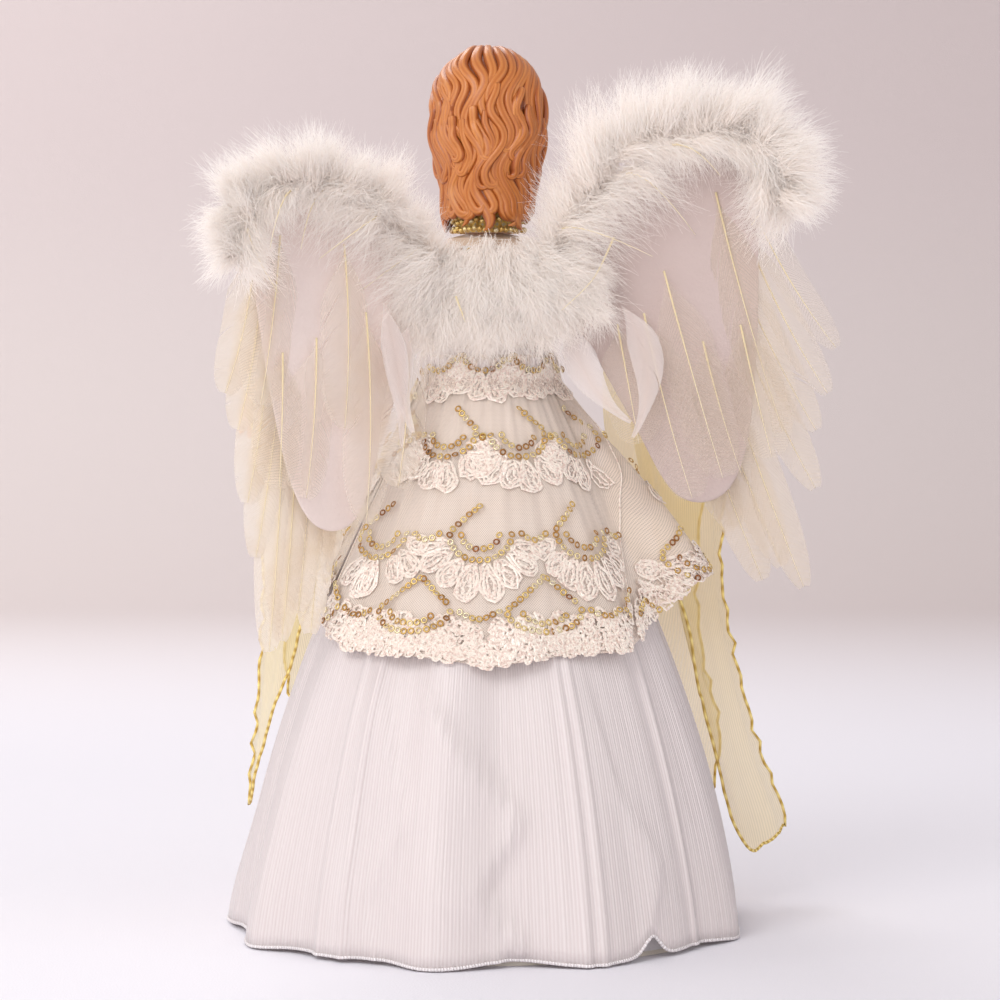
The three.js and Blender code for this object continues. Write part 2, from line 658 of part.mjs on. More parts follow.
// The marabou between the wings, seated on the yoke
function backFluff() {
  const half = BACK_FLUFF_DEPTH / 2;
  const form = new THREE.SphereGeometry(1, 14, 10).rotateX(Math.PI / 2);
  form.scale(BACK_FLUFF_WIDTH / 2, half, BACK_FLUFF_HEIGHT / 2);
  return form.translate(0, yokeBack + CLEARANCE + half, hingeHeight + 1);
}

// Finishes

const finish = (color, roughness, metalness = 0) => new THREE.MeshStandardMaterial({ color, roughness, metalness });
const card = finish('#e9e2d6', 0.85);
const liningCloth = finish('#f3eeee', 0.7);
const satin = finish('#efe6e6', 0.35);
const lace = finish('#f4ece4', 0.6);
const plastic = finish('#e8d5c4', 0.5);
const skin = finish('#f0c9ad', 0.45);
const hairPaint = finish('#c27a3e', 0.4);
const goldTrim = finish('#d4ae4c', 0.3, 0.8);
const organza = finish('#ead9a0', 0.45);
const steelWire = finish('#b9b6b0', 0.35, 0.9);
const felt = finish('#e2d6da', 0.9);
const cream = finish('#f1e6cf', 0.7);
const down = finish('#f6f0ec', 0.9);

// Assembly

const angel = new THREE.Group();

function add(parent, name, geometry, material) {
  const mesh = new THREE.Mesh(geometry, material);
  mesh.name = name;
  parent.add(mesh);
  return mesh;
}

add(angel, 'inner_cone', innerCone(), card);
add(angel, 'skirt_lining', skirtLining(), liningCloth);
add(angel, 'skirt', skirt(), satin);
add(angel, 'tunic_back_panel', tunicBack(), lace);
add(angel, 'tunic_front_panel', tunicFront(), lace);
add(angel, 'torso', torso(), plastic);
add(angel, 'bodice', bodice(), lace);
add(angel, 'neck_post', neckPost(), plastic);
add(angel, 'collar', collar(), goldTrim);
add(angel, 'wing_yoke', wingYoke(), plastic);
add(angel, 'back_marabou', backFluff(), down);
add(angel, 'head', head(), skin);
add(angel, 'hair', hair(), hairPaint);

const sides = [['left', 1, LEFT_SLEEVE_SWAY, LEFT_SLEEVE_END], ['right', -1, RIGHT_SLEEVE_SWAY, RIGHT_SLEEVE_END]];
for (const [name, side, sway, end] of sides) {
  add(angel, `${name}_arm`, arm(side), skin);
  placeHand(add(angel, `${name}_hand`, handForm(), skin), side);
  add(angel, `${name}_sleeve`, sleeve(side, sway, end), organza);
}

function addWing(name, side, sweep, raise, arch) {
  const swing = new THREE.Group();
  swing.position.set(side * HINGE_SPACING / 2, hingeY, hingeHeight);
  swing.rotation.z = side * radians(sweep);
  angel.add(swing);
  const raised = new THREE.Group();
  raised.rotation.y = -side * radians(raise);
  swing.add(raised);

  add(swing, `${name}_wing_wire`, wingWire(side, raise, arch), steelWire);
  add(raised, `${name}_wing_panel`, wingPanel(side, arch), felt);
  add(raised, `${name}_wing_marabou`, boa(side, arch), down);
  const [roots, tips] = [FLIGHT_ROOTS, FLIGHT_TIPS[name]].map((line) => flatCurve(arched(line, arch)));
  for (let i = 0; i < FLIGHT_FEATHERS; i++) {
    const s = i / (FLIGHT_FEATHERS - 1);
    const w = -WING_PANEL / 2 - (i + 0.5) * featherPitch - CLEARANCE / 2;
    const form = feather(side, roots.getPoint(s), tips.getPoint(s), FLIGHT_WIDTH, mix(-5, -2, s), w);
    add(raised, `${name}_flight_feather_${i + 1}`, form, cream);
  }
  const covertLines = [COVERT_ROOTS[name], COVERT_TIPS[name]];
  const [covertRoots, covertTips] = covertLines.map((line) => flatCurve(arched(line, arch)));
  for (let i = 0; i < COVERT_FEATHERS; i++) {
    const s = i / (COVERT_FEATHERS - 1);
    const w = WING_PANEL / 2 + (i + 0.5) * featherPitch + CLEARANCE / 2;
    const form = feather(side, covertRoots.getPoint(s), covertTips.getPoint(s), COVERT_WIDTH, -3, w);
    add(raised, `${name}_covert_feather_${i + 1}`, form, cream);
  }
}

addWing('left', 1, LEFT_WING_SWEEP, LEFT_WING_RAISE, LEFT_WING_ARCH);
addWing('right', -1, RIGHT_WING_SWEEP, RIGHT_WING_RAISE, RIGHT_WING_ARCH);

export default angel;
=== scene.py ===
# %% [markdown]
# # A feather-winged angel tree topper
#
# A doll stands on a hollow cone. The dress is cloth, hair and skin are painted mouldings, and the wings are
# felt, feathers and marabou down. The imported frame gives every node's place and the bodies that move. Each
# cell here makes one piece of the doll as a surface worked out with numpy, in millimetres, and hands it to
# the body that carries it.

from collections import namedtuple

import bpy
import numpy as np
from numpy import arange, array, broadcast_to, clip, concatenate, cos, cross, exp, linspace
from numpy import maximum, pi, radians, sin, sqrt, where
from numpy.random import default_rng
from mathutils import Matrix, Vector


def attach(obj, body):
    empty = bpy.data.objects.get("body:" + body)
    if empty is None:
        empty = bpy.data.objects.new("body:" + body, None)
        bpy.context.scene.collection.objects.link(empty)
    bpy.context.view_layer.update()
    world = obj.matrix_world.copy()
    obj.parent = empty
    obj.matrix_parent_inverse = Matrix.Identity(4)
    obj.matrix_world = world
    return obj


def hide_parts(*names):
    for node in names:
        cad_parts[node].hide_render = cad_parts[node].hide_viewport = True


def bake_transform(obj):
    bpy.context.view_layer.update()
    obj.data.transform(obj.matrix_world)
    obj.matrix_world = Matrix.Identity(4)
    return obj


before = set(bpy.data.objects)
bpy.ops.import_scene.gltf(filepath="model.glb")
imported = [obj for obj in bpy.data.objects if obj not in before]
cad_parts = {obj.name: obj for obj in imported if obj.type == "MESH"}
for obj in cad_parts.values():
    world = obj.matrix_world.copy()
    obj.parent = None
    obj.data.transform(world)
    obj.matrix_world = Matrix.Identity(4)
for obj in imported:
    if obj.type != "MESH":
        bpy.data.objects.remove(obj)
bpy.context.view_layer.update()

# %% [markdown]
# ## Camera
#
# The photograph looks at the doll's back from about chest height, with a long lens and a slight downward
# tilt. A camera placed by hand would need many tries. Here the distance, height and tilt follow from where
# the cone's base and the crown of the hair fall in the picture. The shift only moves the doll a little left
# of the middle.

# %% Camera behind the doll
CAMERA_DISTANCE = 1.4
CAMERA_HEIGHT = 0.246
CAMERA_TILT = 2.2
CAMERA_LENS, CAMERA_SHIFT = 111, 0.012

camera = bpy.data.objects.new("camera", bpy.data.cameras.new("camera"))
camera.data.lens = CAMERA_LENS
camera.data.shift_x = CAMERA_SHIFT
camera.location = (0, CAMERA_DISTANCE, CAMERA_HEIGHT)
camera.rotation_euler = (radians(90 - CAMERA_TILT), 0, pi)
bpy.context.collection.objects.link(camera)
bpy.context.scene.camera = camera
print("camera", CAMERA_DISTANCE, "m behind, lens", camera.data.lens)

# %% [markdown]
# ## From arrays to meshes
#
# Every new piece is made of grids of points, so a few helpers are enough. One numbers the quads of a grid,
# or of many equal grids at once. Two make a patch, from one grid or from a round section carried along
# paths. One joins patches, each with its own finish, into an object.

# %% Small helpers for arrays
MM = 0.001
TAU = 2 * pi
UP = array([0.0, 0.0, 1.0])
BACK = array([0.0, 1.0, 0.0])


def smoothstep(x, low, high):
    """Eases from 0 at low to 1 at high: three t squared less two t cubed."""
    t = clip((x - low) / (high - low), 0, 1)
    return t * t * (3 - 2 * t)


def mix(a, b, share):
    """A straight blend: a where share is 0 and b where it is 1."""
    return a + (b - a) * share


def unit(vectors):
    """Each vector divided by its own length."""
    return vectors / maximum(np.linalg.norm(vectors, axis=-1, keepdims=True), 1e-9)


def vector(x, y, z):
    """Stacks three arrays, stretched to one shape, into points."""
    return np.stack(np.broadcast_arrays(x, y, z), axis=-1).astype(float)


def pair(x, y):
    """Stacks two arrays, stretched to one shape, into flat points."""
    return np.stack(np.broadcast_arrays(x, y), axis=-1)


def deep(flat, depth):
    """Flat points with a depth as their third number."""
    return vector(flat[..., 0], flat[..., 1], depth)


def spin(x, y, angle):
    """Flat directions turned by an angle: x cosine less y sine, and x sine plus y cosine."""
    return x * cos(angle) - y * sin(angle), x * sin(angle) + y * cos(angle)


def turns(count):
    """The angles of count even steps round a circle."""
    return arange(count) * TAU / count


def polar(radius, angle, z):
    """A point at a radius and an angle round the doll's axis, counted from its left towards its back."""
    return vector(radius * cos(angle), radius * sin(angle), z)


def ball_grid(rows, columns, pole):
    """A ball of radius 1 as rows of latitude, of which the first and last lie a small angle off the poles."""
    tilt = linspace(pole, pi - pole, rows)[:, None]
    return polar(sin(tilt), turns(columns), -cos(tilt))


# %% Faces of grids
def grid_faces(rows, columns, wrap_rows=False, wrap_columns=False, count=1, flip=False):
    """Quads of count equal grids. With rows upwards and columns counter-clockwise the faces look outwards."""
    i, j = np.meshgrid(arange(rows - (not wrap_rows)), arange(columns - (not wrap_columns)), indexing="ij")
    above, beside = (i + 1) % rows, (j + 1) % columns
    corners = [(i, j), (i, beside), (above, beside), (above, j)]
    quads = np.stack([row * columns + column for row, column in corners], -1).reshape(-1, 4)
    quads = quads[:, ::-1] if flip else quads
    return (quads + (arange(count) * rows * columns)[:, None, None]).reshape(-1, 4)


def end_faces(rows, columns, count=1, flip=False):
    """One face over the first row and one over the last row of each of count grids whose columns go round."""
    first = (arange(count) * rows * columns)[:, None] + arange(columns)
    last = first + (rows - 1) * columns
    return [first, last[:, ::-1]] if flip else [first[:, ::-1], last]


# %% Patches from grids and along paths
Patch = namedtuple("Patch", "points faces finish uv tone", defaults=(None, None))


def grid_patch(finish, points, uv=None, tone=None, around=False, flip=False):
    """One grid of points as a patch. With around, its last column meets its first."""
    rows, columns = points.shape[:2]
    uv = None if uv is None else uv.reshape(-1, 2)
    faces = [grid_faces(rows, columns, False, around, flip=flip)]
    return Patch(points.reshape(-1, 3), faces, finish, uv, tone)


def tubes(finish, paths, ups, radius, sides=6, closed=False, profile=None, tone=None):
    """A circle, or another profile, carried along each path: the path plus the radius times the profile's
    first number of the side and its second of the up."""
    count, steps = paths.shape[:2]
    ahead = np.roll(paths, -1, 1) - np.roll(paths, 1, 1) if closed else np.gradient(paths, axis=1)
    side = unit(cross(broadcast_to(ups, paths.shape), ahead))
    up = unit(cross(ahead, side))
    turn = turns(sides)
    profile = pair(cos(turn), sin(turn)) if profile is None else profile
    ring = profile[:, :1] * side[:, :, None] + profile[:, 1:] * up[:, :, None]
    points = paths[:, :, None] + broadcast_to(radius, (count, steps))[:, :, None, None] * ring
    faces = [grid_faces(steps, sides, closed, True, count)]
    faces += [] if closed else end_faces(steps, sides, count)
    uv = broadcast_to(pair(linspace(0, 1, steps)[:, None], turn / TAU), (count, steps, sides, 2))
    return Patch(points.reshape(-1, 3), faces, finish, uv.reshape(-1, 2), tone)


# %% Pieces from patches
def add_piece(name, patches, body, nodes=()):
    """Joins patches into one object that rides on a body when one is given, and stands for CAD nodes."""
    sizes = [len(patch.points) for patch in patches]
    starts = np.cumsum([0, *sizes])
    finishes = list(dict.fromkeys(patch.finish for patch in patches))
    groups = [(faces + start, finishes.index(patch.finish))
              for patch, start in zip(patches, starts) for faces in patch.faces]
    corners = concatenate([faces.ravel() for faces, _ in groups]).astype(np.int32)
    widths = concatenate([np.full(len(faces), faces.shape[1]) for faces, _ in groups])
    mesh = bpy.data.meshes.new(name)
    mesh.vertices.add(starts[-1])
    mesh.vertices.foreach_set("co", concatenate([patch.points for patch in patches]).ravel() * MM)
    mesh.loops.add(len(corners))
    mesh.loops.foreach_set("vertex_index", corners)
    mesh.polygons.add(len(widths))
    mesh.polygons.foreach_set("loop_start", (np.cumsum(widths) - widths).astype(np.int32))
    numbers = concatenate([np.full(len(faces), number) for faces, number in groups])
    mesh.polygons.foreach_set("material_index", numbers.astype(np.int32))
    mesh.update(calc_edges=True)
    uv = concatenate([np.zeros((len(p.points), 2)) if p.uv is None else p.uv for p in patches])
    mesh.uv_layers.new(name="cut").data.foreach_set("uv", uv[corners].ravel())
    tone = concatenate([np.zeros(len(p.points)) if p.tone is None else p.tone for p in patches])
    mesh.attributes.new("tone", "FLOAT", "POINT").data.foreach_set("value", tone)
    mesh.shade_smooth()
    for finish in finishes:
        mesh.materials.append(finish.material)
    piece = bpy.data.objects.new(name, mesh)
    bpy.context.collection.objects.link(piece)
    if body:
        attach(piece, body)
    if nodes:
        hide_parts(*nodes)
    print(name, "with", len(mesh.polygons), "faces rides", body or "two bodies")
    return piece


# %% [markdown]
# ## Shader maths as Python
#
# A finish is a small graph of nodes. Built link by link it is hard to read, so one class wraps a socket and
# lets Python's own operators add Math nodes, and one method adds every other node from its type, settings
# and inputs.

# %% Sockets that do arithmetic
def operator(operation, swapped=False):
    """A method that adds one Math node. With swapped, the socket is the second value."""
    def method(self, *others):
        values = (*others, self) if swapped else (self, *others)
        return self.finish.node("ShaderNodeMath", {"operation": operation}, dict(enumerate(values)))

    return method


class Wire:
    """A socket in a finish. Each operator adds one Math node."""

    __add__, __radd__ = operator("ADD"), operator("ADD", True)
    __sub__, __rsub__ = operator("SUBTRACT"), operator("SUBTRACT", True)
    __mul__, __rmul__ = operator("MULTIPLY"), operator("MULTIPLY", True)
    __truediv__ = operator("DIVIDE")
    __pow__ = operator("POWER")
    __abs__ = operator("ABSOLUTE")
    sine = operator("SINE")
    larger = operator("MAXIMUM")

    def __init__(self, finish, socket):
        self.finish, self.socket = finish, socket

    def wave(self, pace):
        """A sine of the socket times a pace, raised and halved so that it runs from 0 to 1."""
        return (self * pace).sine() * 0.5 + 0.5

    def eased(self, low, high):
        """0 below low, 1 above high, and a smooth step between. With low above high it falls instead."""
        settings = {"interpolation_type": "SMOOTHSTEP"}
        start, end, first, last = (low, high, 0.0, 1.0) if low < high else (high, low, 1.0, 0.0)
        return self.finish.node("ShaderNodeMapRange", settings,
                                {0: self, 1: start, 2: end, 3: first, 4: last})


# %% Finishes built from nodes
def shade(red, green, blue):
    """A colour as seen on a screen, each part from 0 to 255, turned into the light that Blender adds up."""
    seen = array([red, green, blue]) / 255
    light = where(seen <= 0.04045, seen / 12.92, ((seen + 0.055) / 1.055) ** 2.4)
    return (*light.tolist(), 1.0)


class Finish:
    """One material. Its methods add nodes and hand back the socket that the next node reads."""

    def __init__(self, name):
        self.material = bpy.data.materials.new(name)
        self.material.use_nodes = True
        self.tree = self.material.node_tree
        self.tree.nodes.clear()

    def node(self, kind, settings=None, inputs=None, out=0):
        """Adds a node of a kind, sets it up, then fills its sockets with values, links or colours as seen."""
        made = self.tree.nodes.new(kind)
        for key, value in (settings or {}).items():
            setattr(made, key, value)
        for place, value in (inputs or {}).items():
            if isinstance(value, Wire):
                self.tree.links.new(value.socket, made.inputs[place])
            else:
                made.inputs[place].default_value = shade(*value) if isinstance(value, tuple) else value
        return Wire(self, made.outputs[out] if made.outputs else None)

    def place(self):
        """Where a point lies in the doll's own space, in metres."""
        return self.node("ShaderNodeTexCoord", out="Object")

    def parts(self, wire):
        """The three parts of a vector as three wires."""
        first = self.node("ShaderNodeSeparateXYZ", None, {0: wire})
        node = first.socket.node
        return first, Wire(self, node.outputs[1]), Wire(self, node.outputs[2])

    def cut(self):
        """The piece's own two directions along its surface."""
        across, along, _ = self.parts(self.node("ShaderNodeUVMap", {"uv_map": "cut"}))
        return across, along

    def tone(self):
        """The number that each point of the mesh carries for its shade."""
        return self.node("ShaderNodeAttribute", {"attribute_name": "tone"}, out="Fac")

    def noise(self, scale, detail=3.0, at=None):
        """Smooth random values round one half. Scale is how many waves fit in a metre, or in a unit of at."""
        inputs = {"Vector": at or self.place(), "Scale": scale, "Detail": detail}
        return self.node("ShaderNodeTexNoise", None, inputs)

    def cells(self, scale):
        """How far a point lies from the edge of its random cell. Scale is how many fit in a metre."""
        inputs = {"Vector": self.place(), "Scale": scale}
        return self.node("ShaderNodeTexVoronoi", {"feature": "DISTANCE_TO_EDGE"}, inputs)

    def crossing(self, pace):
        """Two slanting sets of threads, as the larger of two sines with their signs dropped."""
        x, z = self.cut()
        return abs(((x + z) * pace).sine()).larger(abs(((x - z) * pace).sine()))

    def spread(self, x, y, z=0.0):
        """Three values as one vector, to give a pattern its own directions."""
        return self.node("ShaderNodeCombineXYZ", None, {0: x, 1: y, 2: z})

    def tint(self, share, first, second):
        """The first colour where share is 0 and the second where it is 1."""
        return self.node("ShaderNodeMix", {"data_type": "RGBA"}, {0: share, 6: first, 7: second}, out=2)

    def ramp(self, share, stops):
        """Colours, as seen on a screen, that lie at places from 0 to 1 and blend between them."""
        made = self.node("ShaderNodeValToRGB", None, {0: share})
        elements = made.socket.node.color_ramp.elements
        for element, (place, *colour) in zip(elements, (stops[0], stops[-1])):
            element.position, element.color = place, shade(*colour)
        for place, *colour in stops[1:-1]:
            elements.new(place).color = shade(*colour)
        return made

    def bump(self, height, distance, strength=1.0):
        """Turns a height from 0 to 1 into a tilted normal, for relief of that depth in metres."""
        return self.node("ShaderNodeBump", None,
                         {"Strength": strength, "Distance": distance, "Height": height})

    def gloss(self, colour, roughness, **rest):
        """The all-round shader. Names in rest are its other sockets with _ for a space."""
        inputs = {name.replace("_", " "): value for name, value in rest.items()}
        return self.node("ShaderNodeBsdfPrincipled", None,
                         {"Base Color": colour, "Roughness": roughness, **inputs})

    def through(self, shader, colour, share):
        """Lets a constant share of the light through, as thin cloth and feathers do."""
        glow = self.node("ShaderNodeBsdfTranslucent", None, {"Color": colour})
        return self.node("ShaderNodeMixShader", None, {0: share, 1: shader, 2: glow})

    def sheer(self, shader, cover):
        """Shows what lies behind wherever cover is below 1."""
        clear = self.node("ShaderNodeBsdfTransparent")
        return self.node("ShaderNodeMixShader", None, {0: cover, 1: clear, 2: shader})

    def done(self, shader):
        """Sends the shader to the output."""
        self.node("ShaderNodeOutputMaterial", None, {"Surface": shader})
        return self


def moulded(name, patches, first, second, roughness, grain, depth, **rest):
    """A plain moulding: two colours in soft patches under a fine grain, each so many to the metre."""
    finish = Finish(name)
    colour = finish.tint(finish.noise(patches), first, second)
    relief = finish.bump(finish.noise(grain), depth)
    return finish.done(finish.gloss(colour, roughness, Normal=relief, **rest))


# %% [markdown]
# ## Floor and studio light
#
# The doll stands on a sheet that sweeps up from the floor into a wall. A flat floor and a separate wall would
# show a line between them, so one profile runs along the floor, round a bend and up. The sheet is white on
# the floor and painted a pale rose-grey up the wall, a little darker higher up: painted light falloff. Large
# soft lamps and a pale world light the doll at a plain level.

# %% Sweep and lamps
paper = Finish("paper_sweep")
_, depth, height = paper.parts(paper.place())
# Further back the one white sheet turns rose-grey, and a little darker again higher up: painted light
# falloff.
backdrop_falloff_share = depth.eased(-0.5, -2.2)
wall_painted_falloff = paper.tint(height.eased(0.2, 0.6), (221, 211, 209), (218, 206, 205))
sweep_painted_falloff = paper.tint(backdrop_falloff_share, (238, 236, 242), wall_painted_falloff)
paper_grain = paper.bump(paper.noise(900.0), 0.0002)
paper.done(paper.gloss(sweep_painted_falloff, 0.9, Normal=paper_grain, Specular_IOR_Level=0.1))

bend = linspace(0, pi / 2, 24)
sweep_y = concatenate([linspace(2.6, -1.9, 40), -1.9 - 0.7 * sin(bend[1:]), np.full(8, -2.6)])
sweep_z = concatenate([np.zeros(40), 0.7 - 0.7 * cos(bend[1:]), linspace(0.8, 3.0, 8)])
sweep_x = linspace(4, -4, 30)
sweep_points = vector(sweep_x[None], sweep_y[:, None], sweep_z[:, None]).reshape(-1, 3)
sweep_mesh = bpy.data.meshes.new("paper_sweep")
sweep_mesh.from_pydata(sweep_points.tolist(), [], grid_faces(len(sweep_y), 30, flip=True).tolist())
sweep_mesh.shade_smooth()
sweep_mesh.materials.append(paper.material)
sweep = bpy.data.objects.new("paper_sweep", sweep_mesh)
bpy.context.collection.objects.link(sweep)


def add_lamp(name, place, target, size, power):
    """A square soft lamp at a place, turned to face a target."""
    lamp = bpy.data.objects.new(name, bpy.data.lights.new(name, "AREA"))
    lamp.data.size = size
    lamp.data.energy = power
    lamp.location = place
    aim = Vector(target) - Vector(place)
    lamp.rotation_euler = aim.to_track_quat("-Z", "Y").to_euler()
    bpy.context.collection.objects.link(lamp)


add_lamp("key_lamp", (0.9, 1.5, 1.5), (0, 0, 0.2), 1.2, 17)
add_lamp("fill_lamp", (-1.5, 1.0, 0.9), (0, 0, 0.2), 1.4, 5)
add_lamp("low_lamp", (0.35, 1.6, 0.25), (0, 0, 0.25), 0.8, 6)
add_lamp("side_lamp", (1.7, 0.1, 0.7), (0, 0, 0.15), 1.2, 5.5)
add_lamp("front_lamp", (0.5, -1.0, 1.6), (0, 0, 0.2), 1.0, 10)
add_lamp("backdrop_lamp", (1.2, -1.2, 1.4), (0.8, -2.6, 1.0), 1.0, 13)
world = bpy.data.worlds.new("pale_room")
world.use_nodes = True
world.node_tree.nodes["Background"].inputs[0].default_value = shade(238, 234, 236)
world.node_tree.nodes["Background"].inputs[1].default_value = 0.66
bpy.context.scene.world = world
bpy.context.scene.view_settings.view_transform = "Standard"
print("studio with", len(bpy.data.lights), "lamps")

# %% [markdown]
# ## The dress as nested radii
#
# Cone, lining, skirt and tunic lie over each other like cups. Each is a radius that depends on the angle
# round the doll and on the height, and each starts where the one inside it ends. Cloth dropped by a
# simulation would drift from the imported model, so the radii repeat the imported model's own sums, and finer
# folds are added on top.

# %% Radii of the dress
CLEARANCE = 0.4
CLOTH = 0.8
CONE_HEIGHT = 246
CONE_BASE_RADIUS = 110
CONE_TOP_RADIUS = 27
SKIRT_PUFF = 12
SKIRT_FOLD_DEPTH = 14
SKIRT_TOP = 243
LINING_HEM = 2
layer_gap = CLEARANCE * np.hypot(CONE_HEIGHT, CONE_BASE_RADIUS - CONE_TOP_RADIUS) / CONE_HEIGHT


def lining_radius(z):
    """A straight taper from the cone's base to its top, plus one gap and half the cloth."""
    return mix(CONE_BASE_RADIUS, CONE_TOP_RADIUS, clip(z / CONE_HEIGHT, 0, 1)) + layer_gap + CLOTH / 2


def skirt_floor(z):
    """The inmost radius of the skirt: over the lining, and puffed by half a sine between waist and hem."""
    share = clip(z / CONE_HEIGHT, 0, 1)
    return lining_radius(z) + CLOTH / 2 + layer_gap + SKIRT_PUFF * sin(pi * share ** 0.8)


def fold_depth(z):
    """Depth of the skirt's folds, full at the hem and nothing at the waist."""
    return SKIRT_FOLD_DEPTH * clip(1 - z / CONE_HEIGHT, 0, 1) ** 1.2


def fold_share(angle):
    """How far out a fold stands, from 0 to 1: nine broad folds mixed with fourteen narrower ones."""
    return 0.5 + 0.3 * cos(9 * angle + 0.6) + 0.2 * cos(14 * angle - 1.1)


def skirt_reach(z):
    """The radius that no fold of the skirt passes."""
    return skirt_floor(z) + fold_depth(z) + CLOTH


print("hem radius", round(float(skirt_floor(0)), 1), "to", round(float(skirt_reach(0)), 1), "mm")

# %% [markdown]
# ## Cone and lining
#
# The cone is a plain moulding that nobody sees once the doll stands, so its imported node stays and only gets
# a matt finish with a faint mould grain. The lining is plain white cloth between the cone and the sheer
# skirt.

# %% Cone finish
card = moulded("cone_card", 60.0, (224, 214, 200), (238, 230, 218), 0.8, 1400.0, 0.0001)


def keep_node(node, finish):
    """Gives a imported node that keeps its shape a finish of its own."""
    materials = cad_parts[node].data.materials
    materials.clear()
    materials.append(finish.material)
    print(node, "keeps its packed shape")


keep_node("inner_cone", card)

# %% Lining cloth
lining = Finish("lining_cloth")
lining_x, lining_z = lining.cut()
weave = (lining_x * 2600.0).sine() * (lining_z * 2600.0).sine() * 0.5 + 0.5
lining_shade = lining.tint(lining.noise(30.0), (236, 230, 230), (247, 243, 243))
lining.done(lining.gloss(lining_shade, 0.75, Normal=lining.bump(weave, 0.00008), Sheen_Weight=0.2))


def ring_grid(columns, rows, low, high):
    """Angles and heights of a sheet that goes all the way round: low and high may change with the angle."""
    low = broadcast_to(low, (columns,))
    return broadcast_to(turns(columns), (rows, columns)), mix(low, high, linspace(0, 1, rows)[:, None])


def solidify(piece, thickness):
    """Gives a sheet its real thickness, grown evenly to both sides."""
    wall = piece.modifiers.new("thickness", "SOLIDIFY")
    wall.thickness = thickness * MM
    wall.offset = 0
    return piece


lining_angle, lining_height = ring_grid(180, 24, LINING_HEM, SKIRT_TOP)
lining_points = polar(lining_radius(lining_height), lining_angle, lining_height)
lining_uv = pair(lining_angle * CONE_BASE_RADIUS, lining_height) * MM
lining_patch = grid_patch(lining, lining_points, lining_uv, around=True)
lining_sheet = add_piece("skirt_lining_cloth", [lining_patch], "dress_body", ["skirt_lining"])
solidify(lining_sheet, 0.3)


def cone_area(low, high):
    """Area of a cone's side: pi times the sum of its two radii times its slant, in square metres."""
    slant = np.hypot(lining_radius(low) - lining_radius(high), high - low)
    return pi * (lining_radius(low) + lining_radius(high)) * slant * MM * MM


cone_area(LINING_HEM, SKIRT_TOP)

# %% [markdown]
# ## The pleated satin skirt
#
# The skirt is sheer satin, pressed into hundreds of fine pleats over broad soft folds. A cloth simulation
# can't hold pleats this fine. Here each pleat is three columns of the grid, slower waves bend the pleats,
# and the satin's pinstripes are a sine across the cloth. The hem is a narrow rolled edge with close
# stitches.

# %% Satin
satin = Finish("pleated_satin")
satin_x, satin_z = satin.cut()
streak = satin.noise(1.0, 3.0, satin.spread(satin_x * 60.0, satin_z * 6.0))
pinstripe = satin_x.wave(TAU / 0.00138)
stripe_share = pinstripe * (0.35 + streak * 0.9)
satin_shade = satin.tint(stripe_share, (243, 234, 232), (228, 215, 213))
satin_thread = satin.bump(pinstripe, 0.0002, 0.5)
satin_gloss = satin.gloss(satin_shade, 0.22 + streak * 0.12, Normal=satin_thread, Sheen_Weight=0.4)
satin.done(satin.through(satin_gloss, (252, 243, 242), 0.22))

overlock = Finish("overlock_thread")
stitch_along, _ = overlock.cut()
stitch = stitch_along.wave(TAU * 620)
overlock_shade = overlock.tint(stitch, (230, 220, 220), (252, 247, 247))
overlock.done(overlock.gloss(overlock_shade, 0.45, Normal=overlock.bump(stitch, 0.0004), Sheen_Weight=0.2))

# %% Folds, creases and pleats
PLEATS = 300
HEM_NOTCH = radians(126)
HEM_LOW, HEM_DIP, NOTCH_TALL, NOTCH_WIDE = 0.9, 2.2, 8, 0.055


def skirt_hem(angle):
    """The hem's height: it dips where folds stand out and lifts in a notch behind the doll's right."""
    notch = exp(-((angle - HEM_NOTCH) / NOTCH_WIDE) ** 2)
    return HEM_LOW + HEM_DIP * (1 - fold_share(angle)) + NOTCH_TALL * notch


FOLD_LINES = radians([52.0, 58.5, 109.5, 113.0, 141.0])
BUCKLES = [
    (4.6, [4, 10, 31, 60, 104, 128], [92, 98, 87, 98, 77, 68]),
    (2.4, [4, 25, 60, 95, 120], [66, 62, 72, 63, 58]),
    (2.2, [4, 40, 70, 110], [124, 131, 122, 118]),
]


def skirt_creases(angle, z):
    """Sharp upright fold lines, and zigzag buckles with one gentle and one steep side."""
    wander = 0.008 * sin(z / 37 + 5 * angle)
    total = sum(exp(-((angle + wander - line) / 0.022) ** 2) for line in FOLD_LINES) * 2.0
    for height, levels, bearings in BUCKLES:
        far = radians(np.interp(z, levels, bearings)) - angle
        total = total + height * exp(-where(far > 0, far / 0.17, -far / 0.03)) * smoothstep(-z, -135, -95)
    return total


def skirt_radius(angle, z):
    """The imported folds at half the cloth, drawn in at both sides, plus ripples that wander down the skirt,
    fine pleats and creases."""
    drift = angle + 0.03 * sin(z / 60 + 2 * angle)
    ripple = 0.5 * cos(17 * drift + 1.7) + 0.22 * cos(37 * drift + 0.4 + z / 90) + skirt_creases(angle, z)
    pleat = cos(PLEATS * angle)
    ease = smoothstep(-z, -CONE_HEIGHT, -60)
    flat = where(cos(angle) > 0, mix(0.5, 0.88, smoothstep(z, 0, 60)), 0.85) * cos(angle) ** 8
    crest = clip(fold_share(angle) + 0.05 * cos(19 * drift), 0, 1) * (1 - flat)
    return skirt_floor(z) + fold_depth(z) * crest + CLOTH / 2 + ease * (ripple + 0.16 * pleat)


